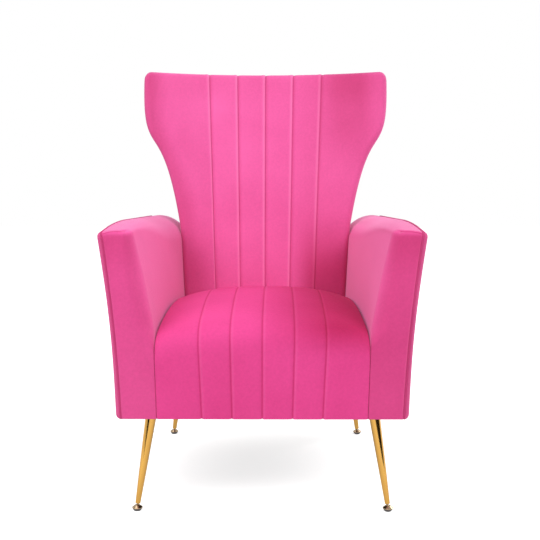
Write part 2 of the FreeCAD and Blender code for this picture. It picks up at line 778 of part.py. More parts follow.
def back_slab(front_in, rear_in):
    """The back between its two faces, each moved into it by an amount."""
    return Part.makeLoft([
        plan_section(height, *front_plan(height, front_in), *rear_plan(height, rear_in), sewn=True)
        for height in PLAN_HEIGHTS
    ], True, True)


def front_layer(near, far):
    """A layer that follows the inside back, between two distances behind it."""
    return Part.makeLoft([
        plan_section(height, *front_plan(height, near), *front_plan(height, far)) for height in PLAN_HEIGHTS
    ], True, True)


def rear_layer(thickness):
    """A layer that follows the outside back."""
    return Part.makeLoft([
        plan_section(height, *rear_plan(height, thickness), *rear_plan(height, 0)) for height in PLAN_HEIGHTS
    ], True, True)


def back_outline(low, inset):
    """The back seen from the front, drawn in by inset: straight beside the arms, then waist and wing."""
    low_half = d.arm_inner_rear_low.value - d.back_arm_gap.value - inset
    bend = d.arm_bend_rear_height.value
    waist = (d.back_waist_half.value - d.back_arm_gap.value - inset, d.back_waist_height.value)
    wing_half = d.back_wing_half.value - inset
    top = d.overall_height.value - inset
    bow = d.back_corner_round.value
    wing = (wing_half, top - bow)
    lean = math.radians(d.back_waist_lean.value)
    handle_low = (waist[0] + d.back_waist_handle.value * math.sin(lean),
                  waist[1] + d.back_waist_handle.value * math.cos(lean))
    handle_high = (wing[0], wing[1] - d.back_wing_handle.value)
    corner_middle = (wing_half - bow + bow * math.sqrt(0.5), top - bow + bow * math.sqrt(0.5))

    def side(sign):
        def spot(point):
            return at(sign * point[0], 0, point[1])

        sweep = Part.BezierCurve()
        sweep.setPoles([spot(point) for point in (waist, handle_low, handle_high, wing)])
        corner = Part.Arc(spot(wing), spot(corner_middle), spot((wing_half - bow, top)))
        return [Part.makeLine(spot((low_half, low)), spot((low_half, bend))),
                Part.makeLine(spot((low_half, bend)), spot(waist)),
                sweep.toShape(), corner.toShape()]

    edges = side(1) + side(-1)
    edges.append(Part.makeLine(at(low_half, 0, low), at(-low_half, 0, low)))
    edges.append(Part.makeLine(at(wing_half - bow, 0, top), at(bow - wing_half, 0, top)))
    outline = Part.Wire(Part.__sortEdges__(edges))
    return Part.Face(outline).extrude(Vector(0, 2 * reach, 0))


back_low = d.back_low_height.value
outside_in = d.outside_back_thickness.value
edge_in = d.back_edge_padding.value
pad_in = d.back_padding.value
floor_low = d.body_clearance.value

named(formed("back_cover", back_outline(back_low, 0).common(
    back_slab(0, outside_in + d.cover_clearance.value)
).cut(back_outline(back_low - beyond, cover_in).common(back_slab(cover_in, -beyond)))), "back_cover")
outside_back = back_outline(floor_low, 0).common(rear_layer(outside_in))
named(formed("outside_back_cover", outside_back), "outside_back_cover")

# Back timbers: sawn rails and wing boards that follow the hollow, between two upright sides
rail_near = pad_in + d.back_web_thickness.value + d.cover_clearance.value
rail_far = rail_near + d.back_rail_thickness.value
rail_layer = front_layer(rail_near, rail_far)
upright_out = upright_outer.value
timber_gap = d.timber_gap.value
timber_top = d.overall_height.value - edge_in


def curved_rail(low, height):
    half = upright_inner.value - timber_gap
    return rail_layer.common(block_between((-half, 0, low), (half, 2 * reach, low + height)))


rail_height = d.back_rail_height.value
named(formed("back_lumbar_rail", curved_rail(d.back_rail_low.value, rail_height)), "back_lumbar_rail")
named(formed("back_crest_rail", curved_rail(timber_top - rail_height, rail_height)), "back_crest_rail")

wing_window = block_between((upright_out + timber_gap, 0, d.wing_board_low.value),
                            (reach, 2 * reach, timber_top))
wing_board = back_outline(back_low, edge_in).common(rail_layer).common(wing_window)
both_sides("back_wing_board", formed("back_wing_board", wing_board))

upright_front = hollow(upright_inner.value, d.back_curve_radius.value)
upright_rear = outside_in + d.frame_gap.value
upright_bow = hollow(upright_out, back_rear_radius)


def upright_near(height):
    return front + d.seat_depth + recline * (height - d.lumbar_height) + (rail_near - upright_front)


def upright_far(height, bow):
    return front + d.base_depth + rear_lean * (height - d.body_clearance) - (upright_rear + bow)


upright_top = d.overall_height - d.back_edge_padding
upright_low = rail_top + d.timber_gap
upright = board("back_upright", "YZ_Plane", [
    (upright_near(upright_low), upright_low), (upright_far(upright_low, 0), upright_low),
    (upright_far(d.back_flat_height, 0), d.back_flat_height),
    (upright_far(upright_top, upright_bow), upright_top), (upright_near(upright_top), upright_top),
], upright_inner, d.upright_thickness)
both_sides("back_upright", upright)

bottom_half = upright_inner - d.timber_gap
bottom_rail = box("back_bottom_rail_board", (-bottom_half, front + d.rear_rail_depth, upright_low),
                  (2 * bottom_half, d.timber_thickness, d.back_bottom_rail_height))
bottom_holes = bolt_holes("back_bottom_rail", upright_low, d.back_bottom_rail_height)
named(cut("back_bottom_rail", bottom_rail, bottom_holes), "back_bottom_rail")

web_layer = front_layer(pad_in + d.cover_clearance.value, pad_in + d.back_web_thickness.value)
web_low, web_high = d.back_rail_low.value, timber_top
web_half = d.back_web_width.value / 2
web_middles = [(index - (BACK_WEBS - 1) / 2) * d.back_web_pitch.value for index in range(BACK_WEBS)]
gathered("back_webbing", [
    formed(f"back_web_{index}", web_layer.common(
        block_between((middle - web_half, 0, web_low), (middle + web_half, 2 * reach, web_high))
    ))
    for index, middle in enumerate(web_middles)
])

# Back foam: the padding behind the cover, with room for the timbers, open to the rear between the uprights
timber_room = block_between((-upright_out - timber_gap, 0, back_low - reach),
                            (upright_out + timber_gap, 2 * reach, timber_top + timber_gap))
timber_room = timber_room.common(back_slab(pad_in, -beyond))
wing_layer = front_layer(rail_near - timber_gap, rail_far + timber_gap)
wing_room = back_outline(back_low, edge_in - timber_gap).common(wing_layer).common(
    block_between((-reach, 0, d.wing_board_low.value - timber_gap),
                  (reach, 2 * reach, timber_top + timber_gap))
)
named(formed("back_foam", back_outline(back_low, foam_in).common(
    back_slab(foam_in, outside_in + 2 * d.cover_clearance.value)
).cut(timber_room).cut(wing_room)), "back_foam")

# Fixings of the back: two bolts up through the rear rail, with tee nuts on the back's bottom rail
nut_seat = upright_low + d.back_bottom_rail_height
bolts, nuts = [], []
for index, (across, along) in enumerate(bolt_places):
    shank_top = nut_seat + d.tee_nut_thickness + d.bolt_end
    head_low = frame_bottom - d.plate_thickness
    bolt = turned(f"back_bolt_{index}", [
        (0, 0), (d.back_bolt_head_radius, 0), (d.back_bolt_head_radius, d.plate_thickness),
        (d.back_bolt_radius, d.plate_thickness), (d.back_bolt_radius, shank_top - head_low),
        (0, shank_top - head_low),
    ])
    bolt.Placement = Placement(Vector(across.value, along.value, head_low.value), Rotation())
    nut = turned(f"back_tee_nut_{index}", [
        (d.back_bolt_radius + d.bolt_clearance, 0), (d.tee_nut_radius, 0),
        (d.tee_nut_radius, d.tee_nut_thickness), (d.back_bolt_radius + d.bolt_clearance, d.tee_nut_thickness),
    ])
    nut.Placement = Placement(Vector(across.value, along.value, nut_seat.value), Rotation())
    bolts.append(bolt)
    nuts.append(nut)
gathered("back_bolts", bolts)
gathered("back_tee_nuts", nuts)

# Legs: a tapered tube welded to a plate, leaning outwards both ways.
# Its axis runs through its glide's ball.
foot_half = {"front": d.front_foot_half, "rear": d.rear_foot_half}
foot_depth = {"front": d.front_foot_depth, "rear": d.rear_foot_depth}
leg_rise = d.body_clearance - d.ball_height
axis_length = root(1 + 2 * d.leg_splay * d.leg_splay)
tube_length = leg_rise * axis_length
bush_out = d.stud_radius + d.bush_clearance + d.bush_wall
leg_bore = bush_out + d.bush_seat
leg_end_radius = leg_bore + d.leg_wall
plate_shift = d.leg_splay * leg_rise


def tube_radius(distance):
    """Outer radius of the leg at a distance from the ball's middle, along the leg."""
    share = (distance - d.leg_end_distance) / (tube_length - d.leg_end_distance)
    return leg_end_radius + (d.leg_top_radius - leg_end_radius) * share


tube_end = tube_length + d.leg_top_radius
leg_section = [
    (leg_bore, d.leg_end_distance), (leg_end_radius, d.leg_end_distance),
    (tube_radius(tube_end), tube_end), (tube_radius(tube_end) - d.leg_wall, tube_end),
]
bush_section = [
    (d.stud_radius + d.bush_clearance, d.leg_end_distance), (bush_out, d.leg_end_distance),
    (bush_out, d.leg_end_distance + d.bush_length),
    (d.stud_radius + d.bush_clearance, d.leg_end_distance + d.bush_length),
]
cup_radius = d.ball_radius + d.ball_clearance


def grooved_cup(piece, name):
    """Turn the ball's socket out of a glide piece."""
    ball = doc.addObject("Part::Sphere", f"{name}_socket")
    bind(ball, Radius=cup_radius, Placement__Base__z=d.ball_height)
    return cut(name, piece, [ball])


def rounded_plate(name, across, along):
    """A square plate under the seat frame with rounded corners."""
    reach_out = ((1, 1), (-1, 1), (-1, -1), (1, -1))
    corners = [(across + x * d.plate_half, along + y * d.plate_half) for x, y in reach_out]
    plate = board(name, "XY_Plane", corners, d.body_clearance, d.plate_thickness)
    doc.recompute()
    upright_edges = [
        f"Edge{index}" for index, edge in enumerate(plate.Shape.Edges, start=1)
        if abs(edge.tangentAt(edge.FirstParameter).z) > 0.5
    ]
    square = plate.Tip
    rounding = plate.newObject("PartDesign::Fillet", f"{name}_corners")
    rounding.Base = (square, upright_edges)
    bind(rounding, Radius=d.plate_corner_round)
    return plate


plates, bushes = [], []
for end, along in ENDS:
    for side, across in SIDES:
        corner = f"{end}_{side}"
        foot = Vector(across * foot_half[end].value, (front + foot_depth[end]).value, 0)
        ball = foot + Vector(0, 0, d.ball_height.value)
        lean = Vector(-across * d.leg_splay.value, -along * d.leg_splay.value, 1)
        on_axis = Placement(ball, Rotation(Vector(0, 0, 1), lean))
        plate_x = across * (foot_half[end] - plate_shift)
        plate_y = front + foot_depth[end] - along * plate_shift

        tube = turned(f"leg_tube_{corner}", leg_section)
        tube.Placement = on_axis
        above = box(f"leg_trim_{corner}", (plate_x - d.plate_half, plate_y - d.plate_half, d.body_clearance),
                    (2 * d.plate_half, 2 * d.plate_half, 2 * d.plate_half))
        named(cut(f"leg_{corner}", tube, [above]), f"leg_{corner}")

        plates.append(rounded_plate(f"leg_plate_{corner}", plate_x, plate_y))

        bush = turned(f"leg_bush_{corner}", bush_section)
        bush.Placement = on_axis
        bushes.append(bush)

        stem = turned(f"glide_stem_{corner}", [
            (0, 0), (d.stud_neck_radius, 0), (d.stud_neck_radius, d.stud_neck_length),
            (d.stud_radius, d.stud_neck_length), (d.stud_radius, d.stud_length - d.stud_chamfer),
            (d.stud_radius - d.stud_chamfer, d.stud_length), (0, d.stud_length),
        ])
        knob = doc.addObject("Part::Sphere", f"glide_ball_{corner}")
        bind(knob, Radius=d.ball_radius)
        stud = doc.addObject("Part::Fuse", f"glide_stud_{corner}_fuse")
        stud.Base, stud.Tool = stem, knob
        stud.Placement = on_axis
        named(stud, f"glide_stud_{corner}")

        sole = grooved_cup(turned(f"glide_sole_{corner}_round", [
            (0, 0), (d.sole_radius, 0), (d.sole_rim_radius, d.sole_height - d.sole_rim_height),
            (d.sole_rim_radius, d.sole_height), (0, d.sole_height),
        ]), f"glide_sole_{corner}")
        sole.Placement = Placement(foot, Rotation())
        named(sole, f"glide_sole_{corner}")

        cap_top = d.ball_height + d.cap_rise
        cap = grooved_cup(turned(f"glide_cap_{corner}_round", [
            (0, d.sole_height), (d.cap_radius, d.sole_height),
            (d.cap_radius, d.sole_height + d.cap_flange_height), (d.cap_neck_radius, cap_top), (0, cap_top),
        ]), f"glide_cap_{corner}")
        cap.Placement = Placement(foot, Rotation())
        named(cap, f"glide_cap_{corner}")
gathered("leg_plates", plates)
gathered("leg_bushes", bushes)

# Dust cover: black cloth tacked under the seat frame, cut away round the leg plates
cover_half = d.arm_base_half - d.arm_panel_thickness - d.dust_cover_edge
front_notch_x = d.front_foot_half - plate_shift - d.plate_half - d.dust_cover_notch
front_notch_y = d.front_foot_depth + plate_shift + d.plate_half + d.dust_cover_notch
rear_notch_x = d.rear_foot_half - plate_shift - d.plate_half - d.dust_cover_notch
rear_notch_y = d.rear_foot_depth - plate_shift - d.plate_half - d.dust_cover_notch
cover_half_rear = cover_half - d.arm_rear_narrowing
right_edge = [
    (front_notch_x, front + d.dust_cover_front), (front_notch_x, front + front_notch_y),
    (cover_half, front + front_notch_y), (cover_half_rear, front + rear_notch_y),
    (rear_notch_x, front + rear_notch_y), (rear_notch_x, front + d.dust_cover_rear),
]
left_edge = [(-across, along) for across, along in reversed(right_edge)]
named(board("dust_cover", "XY_Plane", right_edge + left_edge,
            frame_bottom - d.dust_cover_thickness, d.dust_cover_thickness), "dust_cover")

doc.recompute()

faults = [piece.Label for piece in doc.Objects if {"Invalid", "Error"} & set(piece.State)]
for piece in nodes:
    if piece.Shape.isNull() or not piece.Shape.isValid() or not piece.Shape.Solids:
        faults.append(piece.Label)
if faults:
    raise RuntimeError(f"pieces that failed: {faults}")

os.makedirs("parts", exist_ok=True)
for piece in nodes:
    piece.Shape.exportStep(f"parts/{piece.Label}.step")
    print(piece.Label, len(piece.Shape.Solids), round(piece.Shape.Volume))
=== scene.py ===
import math

import bmesh
import bpy
from mathutils import Matrix, Vector


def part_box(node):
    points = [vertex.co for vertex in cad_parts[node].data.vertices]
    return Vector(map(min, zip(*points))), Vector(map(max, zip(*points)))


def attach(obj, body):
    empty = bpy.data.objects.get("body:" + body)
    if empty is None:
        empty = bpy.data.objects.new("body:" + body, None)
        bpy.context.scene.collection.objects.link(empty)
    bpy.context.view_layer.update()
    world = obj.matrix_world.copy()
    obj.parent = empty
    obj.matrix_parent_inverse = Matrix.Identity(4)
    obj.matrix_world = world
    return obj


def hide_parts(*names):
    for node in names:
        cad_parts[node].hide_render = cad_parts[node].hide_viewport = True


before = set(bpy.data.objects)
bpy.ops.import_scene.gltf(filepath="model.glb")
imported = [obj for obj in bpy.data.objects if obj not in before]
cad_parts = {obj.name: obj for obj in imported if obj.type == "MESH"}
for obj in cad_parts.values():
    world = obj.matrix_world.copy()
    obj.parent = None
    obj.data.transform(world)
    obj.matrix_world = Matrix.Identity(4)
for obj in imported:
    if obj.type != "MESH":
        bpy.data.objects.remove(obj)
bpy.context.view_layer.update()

# Timber frame: sawn hardwood rails, posts, uprights and blocks, glued and stapled together.
# The upholstery hides all of it, so the wood keeps its rough sawn face.

TIMBER_DARK = (0.42, 0.26, 0.12)
TIMBER_PALE = (0.66, 0.47, 0.27)
SIDES = ("right", "left")


def add_node(tree, kind, inputs=(), **settings):
    """Add a shader node, set its options, and fill its inputs with values or with other nodes' outputs."""
    made = tree.nodes.new(kind)
    for name, value in settings.items():
        setattr(made, name, value)
    for socket, value in dict(inputs).items():
        if isinstance(value, bpy.types.NodeSocket):
            tree.links.new(value, made.inputs[socket])
        else:
            made.inputs[socket].default_value = value
    return made


def new_finish(name):
    """A new material, with its node tree, its shader and the object's own coordinates."""
    material = bpy.data.materials.new(name)
    material.use_nodes = True
    tree = material.node_tree
    place = add_node(tree, "ShaderNodeTexCoord").outputs["Object"]
    return material, tree, tree.nodes["Principled BSDF"], place


def two_tone(tree, share, low, high):
    """A colour that runs from low to high with a share."""
    blend = add_node(tree, "ShaderNodeMix", data_type="RGBA")
    tree.links.new(share, blend.inputs["Factor"])
    blend.inputs["A"].default_value = (*low, 1)
    blend.inputs["B"].default_value = (*high, 1)
    return blend.outputs["Result"]


def grained(tree, place, scale, stretch=(1, 1, 1), detail=2.0, roughness=0.5):
    """Noise of a scale, stretched along the object's axes."""
    laid = add_node(tree, "ShaderNodeMapping", {"Vector": place, "Scale": stretch})
    inputs = {"Vector": laid.outputs["Vector"], "Scale": scale, "Detail": detail, "Roughness": roughness}
    return add_node(tree, "ShaderNodeTexNoise", inputs).outputs["Fac"]


def ranged(tree, share, low, high, start=0.0, stop=1.0):
    """A share between start and stop, spread between low and high."""
    inputs = {"Value": share, "From Min": start, "From Max": stop, "To Min": low, "To Max": high}
    return add_node(tree, "ShaderNodeMapRange", inputs).outputs["Result"]


def raised(tree, shader, height, distance, strength=1.0):
    """Relief on a surface, from a height."""
    bump = add_node(tree, "ShaderNodeBump", {"Height": height, "Distance": distance, "Strength": strength})
    tree.links.new(bump.outputs["Normal"], shader.inputs["Normal"])


def cover_node(node, material):
    """Give a piece that keeps its CAD shape a finish."""
    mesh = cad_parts[node].data
    mesh.materials.clear()
    mesh.materials.append(material)


def sawn_timber():
    material, tree, shader, place = new_finish("sawn_timber")
    grain = grained(tree, place, 38, (1, 0.12, 0.6), 5)
    pores = grained(tree, place, 420, (1, 0.08, 0.5))
    shade = two_tone(tree, ranged(tree, grain, 0, 1, 0.32, 0.68), TIMBER_DARK, TIMBER_PALE)
    tree.links.new(shade, shader.inputs["Base Color"])
    tree.links.new(ranged(tree, pores, 0.62, 0.85), shader.inputs["Roughness"])
    raised(tree, shader, pores, 0.0004, 0.5)
    return material


timber = sawn_timber()
timbers = [f"arm_{part}_{side}" for side in SIDES
           for part in ("front_post", "rear_post", "top_rail", "bottom_rail", "tuck_rail")]
timbers += [f"back_{part}_{side}" for side in SIDES for part in ("upright", "wing_board")]
timbers += ["seat_front_rail", "seat_rear_rail", "seat_webbing_rail", "corner_blocks"]
timbers += ["back_lumbar_rail", "back_crest_rail", "back_bottom_rail"]
for node in timbers:
    cover_node(node, timber)

# Webbing: woven elastic bands, stretched over the seat frame and down the back and stapled to the rails.
# The weave is a fine rib across each band.

RIB_SCALE = 260
WEBBING_DARK = (0.16, 0.11, 0.07)
WEBBING_PALE = (0.36, 0.27, 0.17)


def woven_band(name, along):
    material, tree, shader, place = new_finish(name)
    rib = add_node(tree, "ShaderNodeTexWave", {"Vector": place, "Scale": RIB_SCALE, "Distortion": 0.6},
                   bands_direction=along).outputs["Fac"]
    shade = two_tone(tree, rib, WEBBING_DARK, WEBBING_PALE)
    tree.links.new(shade, shader.inputs["Base Color"])
    shader.inputs["Roughness"].default_value = 0.85
    raised(tree, shader, rib, 0.0005, 0.6)
    return material


cover_node("seat_webbing_lengthwise", woven_band("webbing_lengthwise", "Y"))
cover_node("seat_webbing_crosswise", woven_band("webbing_crosswise", "X"))
cover_node("back_webbing", woven_band("webbing_upright", "Z"))

# Fixings of the back and legs: zinc plated steel bolts, tee nuts, plates and bushes.
# The plating is dull, with a faint spangle.

ZINC_DARK = (0.44, 0.45, 0.47)
ZINC_PALE = (0.66, 0.67, 0.68)


def zinc_plate():
    material, tree, shader, place = new_finish("zinc_plate")
    spangle = grained(tree, place, 160, detail=3)
    tree.links.new(two_tone(tree, spangle, ZINC_DARK, ZINC_PALE), shader.inputs["Base Color"])
    tree.links.new(ranged(tree, grained(tree, place, 520), 0.28, 0.5), shader.inputs["Roughness"])
    shader.inputs["Metallic"].default_value = 1.0
    return material


zinc = zinc_plate()
for node in ("back_bolts", "back_tee_nuts", "leg_bushes", "leg_plates"):
    cover_node(node, zinc)

# Seat: one tight velvet cover over a foam block, crowned in the middle and rolled over at the front.
# Five seams sewn from the back over the crown and down the front make four narrow channels and two wide
# sides, and a cloth simulation swells them. Beside each seam lies a faint raised lip.

# Cells across the panels, and cells along the crown, the roll and the front.
SEAT_COLUMNS = (18, 12, 12, 12, 12, 18)
SEAT_ROWS = (56, 18, 26)
SEAT_SIDE = 0.416
SEAT_CROWN = 0.440
CROWN_POWER = 3.0
SEAT_ROLL = 0.0015
SEAT_TUCK = 0.016
SEAT_GAP = 0.0003
SEAT_PRESSURE = 1.5
# Lips beside the seat's seams and along its rear edge: raised, with a painted highlight. The sunk edges take
# painted shade.
SEAT_LIP = 0.18
REAR_LIP = 0.4
SUNK_SHARE = 0.4
FIRST_CHANNEL = (0.330, 0.289)
SECOND_CHANNEL = (0.650, 0.578)
REAR_HALF = 0.2104
ROLL_DEPTH = 0.090
ROLL_DROP = 0.020
REAR_DROP = 0.012
ROLL_FALL = 0.066
ROLL_HANDLE = 0.040
FRONT_HANDLE = 0.016
PADDING_REACH = 0.008
SEAM_SINK = 0.0022
CELL_DRAW = 0.45
# The least and the most painted shade on the seat.
SEAT_LEAST_SHADE = 0.15
SEAT_MOST_SHADE = 0.95
SEAT_DEEP = (0.64, 0.045, 0.214)
SEAT_BRIGHT = (0.745, 0.066, 0.280)
# Tints: painted shade in the seams, painted highlight on the lips, and painted shade over areas of a piece.
SEAM_SHADE_TINT = (0.62, 0.24, 0.38, 1)
LIP_HIGHLIGHT_TINT = (0.95, 0.26, 0.52, 1)
SHADE_TINT = (0.61, 0.24, 0.37, 1)
SHEEN_TINT = (1.0, 0.54, 0.80, 1)
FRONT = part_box("seat_cover")[0].y
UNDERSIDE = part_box("seat_cover")[0].z - SEAT_ROLL
BACK_FOOT = 0.495
BACK_FOOT_HEIGHT = 0.430
BACK_LEAN = 0.2112
BACK_RADIUS = 0.690
ARM_FRONT_TOP = 0.604
ARM_CLIMB = 0.0150
ARM_PEAK = 0.25
ARM_FALL = 0.004 / 0.40
BEND_FRONT = 0.369
INNER_DEPTH = 0.49


def mixed(low, high, share):
    """A value between low and high, at a share of the way."""
    return low + (high - low) * share


def back_depth(height):
    """Depth of the inside back on the middle line, from the front of the chair."""
    return BACK_FOOT + BACK_LEAN * (height - BACK_FOOT_HEIGHT)


def hollow(across, radius):
    """How far a curve of that radius comes forward at a distance from the middle."""
    return radius - math.sqrt(radius * radius - across * across)


def bezier(points, share):
    """A point on a smooth curve that is drawn by its control points."""
    points = [Vector(point) for point in points]
    while len(points) > 1:
        points = [first.lerp(second, share) for first, second in zip(points, points[1:])]
    return points[0]


def stepped(share, counts, edges):
    """Spread a share of a row of cells over panels with these counts of cells, between these edges."""
    place = share * sum(counts)
    for count, low, high in zip(counts, edges, edges[1:]):
        if place <= count:
            return mixed(low, high, sewn_in(place / count, count))
        place -= count
    return edges[-1]


def sewn_in(share, count):
    """Draw the first and last cells of a panel close to its seams."""
    tight = CELL_DRAW / count
    step = 1 / count
    if share <= step:
        return tight * share / step
    if share >= 1 - step:
        return 1 - tight * (1 - share) / step
    return mixed(tight, 1 - tight, (share - step) / (1 - 2 * step))


def cloth_sheet(columns, rows, point, facing):
    """A grid of cloth with its right side to facing: point places shares across and along it, from 0 to 1."""
    bm = bmesh.new()
    bmesh.ops.create_grid(bm, x_segments=columns, y_segments=rows, size=0.5)
    reach = max(vert.co.x for vert in bm.verts)
    seam = bm.verts.layers.float.new("seam")
    across = bm.verts.layers.float.new("across")
    along = bm.verts.layers.float.new("along")
    for vert in bm.verts:
        vert[across] = vert.co.x / (2 * reach) + 0.5
        vert[along] = vert.co.y / (2 * reach) + 0.5
        vert[seam] = 0.0
        vert.co = point(vert[across], vert[along])
    bm.normal_update()
    if sum((face.normal for face in bm.faces), Vector()).dot(Vector(facing)) < 0:
        bmesh.ops.reverse_faces(bm, faces=bm.faces)
    return bm


def sew_columns(bm, counts, lip_side, lip):
    """Mark the columns of vertices that lie on the seams between panels. Beside each seam, on its left (-1)
    or right (1), one panel's edge is lapped over as a raised lip, and the other edge sinks a little."""
    seam = bm.verts.layers.float["seam"]
    across = bm.verts.layers.float["across"]
    total = sum(counts)
    marks = [sum(counts[:index]) for index in range(1, len(counts))]
    # The marks also paint shade into the seams and the sunk edges, and a highlight onto the lips.
    for vert in bm.verts:
        column = round(vert[across] * total)
        if column in marks:
            vert[seam] = 1.0
        elif column - lip_side in marks:
            vert[seam] = -lip
        elif column + lip_side in marks:
            vert[seam] = SUNK_SHARE * lip


def rim_of(bm):
    """The free edges of a sheet."""
    return [edge for edge in bm.edges if edge.is_boundary]


def drawn_on(bm, rim, place):
    """Extrude a free edge: place gives the new point from the old vertex. Returns the new free edge,
    and the old vertex behind each new one."""
    made = bmesh.ops.extrude_edge_only(bm, edges=rim)["geom"]
    fresh = {item for item in made if isinstance(item, bmesh.types.BMVert)}
    kin = {}
    for vert in fresh:
        kin[vert] = next(edge.other_vert(vert) for edge in vert.link_edges
                         if edge.other_vert(vert) not in fresh)
    points = {vert: place(old) for vert, old in kin.items()}
    for vert, point in points.items():
        vert.co = point
    rim = [item for item in made if isinstance(item, bmesh.types.BMEdge)
           and item.verts[0] in fresh and item.verts[1] in fresh]
    return rim, kin


def rolled_border(bm, radius, steps=4):
    """Turn the free edge of a sheet over a round of that radius. Returns the new free edge, and for each
    vertex its place before the turn, its way outwards and the sheet's normal."""
    bm.normal_update()
    rim = rim_of(bm)
    outward = {}
    for edge in rim:
        face = edge.link_faces[0]
        line = (edge.verts[1].co - edge.verts[0].co).normalized()
        away = line.cross(face.normal)
        if away.dot(edge.verts[0].co - face.calc_center_median()) < 0:
            away.negate()
        for vert in edge.verts:
            outward.setdefault(vert, []).append(away)
    start = {}
    sharpest = 0.5
    for vert, ways in outward.items():
        mean = sum(ways, Vector()).normalized()
        reach = 1 / max(sharpest, mean.dot(ways[0]))
        start[vert] = (vert.co.copy(), mean * reach, vert.normal.copy())
    for step in range(1, steps + 1):
        turn = math.radians(90) * step / steps

        def over(vert):
            base, out, up = start[vert]
            return base + out * (radius * math.sin(turn)) - up * (radius * (1 - math.cos(turn)))

        rim, kin = drawn_on(bm, rim, over)
        start.update({vert: start[old] for vert, old in kin.items()})
    return rim, start


def tucked(bm, rim, start, depth):
    """Draw a rolled edge straight in behind its sheet."""
    rim, kin = drawn_on(bm, rim, lambda vert: vert.co - start[vert][2] * depth)
    start.update({vert: start[old] for vert, old in kin.items()})
    return rim


def closed(bm, rim):
    """Close a form behind its sheet."""
    bmesh.ops.holes_fill(bm, edges=rim, sides=0)
    big = [face for face in bm.faces if len(face.verts) > 4]
    bmesh.ops.triangulate(bm, faces=big)
    bmesh.ops.recalc_face_normals(bm, faces=bm.faces)


def made_piece(bm, name, material, smooth=True):
    """A finished mesh as an object at the origin."""
    mesh = bpy.data.meshes.new(name)
    bm.to_mesh(mesh)
    bm.free()
    mesh.materials.append(material)
    if smooth:
        mesh.shade_smooth()
    piece = bpy.data.objects.new(name, mesh)
    bpy.context.scene.collection.objects.link(piece)
    return piece


def sewn_points(piece, columns, rows):
    """The points of a padded piece that lie on a seam, or past the edge of its sheet of columns and rows."""
    sheet = (sum(columns) + 1) * (sum(rows) + 1)
    seam = piece.data.attributes["seam"].data
    return [vert.index for vert in piece.data.vertices
            if vert.index >= sheet or seam[vert.index].value > 0.5]


def puffed(piece, held, pressure):
    """Swell a padded piece by cloth simulation. Held points stay, and no point moves further than the
    padding's reach."""
    stiffness = 12.0
    last_frame = 20
    group = piece.vertex_groups.new(name="held")
    group.add(held, 1.0, "REPLACE")
    cloth = piece.modifiers.new("Cloth", "CLOTH")
    cloth.settings.quality = 5
    cloth.settings.mass = 0.3
    cloth.settings.tension_stiffness = stiffness
    cloth.settings.compression_stiffness = stiffness
    cloth.settings.bending_stiffness = 0.6
    cloth.settings.use_pressure = True
    cloth.settings.uniform_pressure_force = pressure
    cloth.settings.vertex_group_mass = "held"
    cloth.settings.effector_weights.gravity = 0
    cloth.point_cache.frame_start = 1
    cloth.point_cache.frame_end = last_frame
    scene = bpy.context.scene
    for moment in range(1, last_frame + 1):
        scene.frame_set(moment)
    swollen = piece.evaluated_get(bpy.context.evaluated_depsgraph_get())
    ends = [vert.co.copy() for vert in swollen.data.vertices]
    piece.modifiers.remove(cloth)
    piece.vertex_groups.remove(group)
    for vert, end in zip(piece.data.vertices, ends):
        move = end - vert.co
        if move.length > PADDING_REACH:
            move = move.normalized() * PADDING_REACH
        vert.co = vert.co + move
    scene.frame_set(1)


def sew_down(piece, depth):
    """Pull the seams of a padded piece in by a depth, and raise their lips."""
    seam = piece.data.attributes["seam"].data
    ways = [vert.normal.copy() for vert in piece.data.vertices]
    for vert, way in zip(piece.data.vertices, ways):
        vert.co = vert.co - way * (depth * seam[vert.index].value)


def smoothed(piece, levels=1):
    """Finish a piece with a live subdivision."""
    finer = piece.modifiers.new("Subdivision", "SUBSURF")
    finer.levels = levels
    finer.render_levels = levels


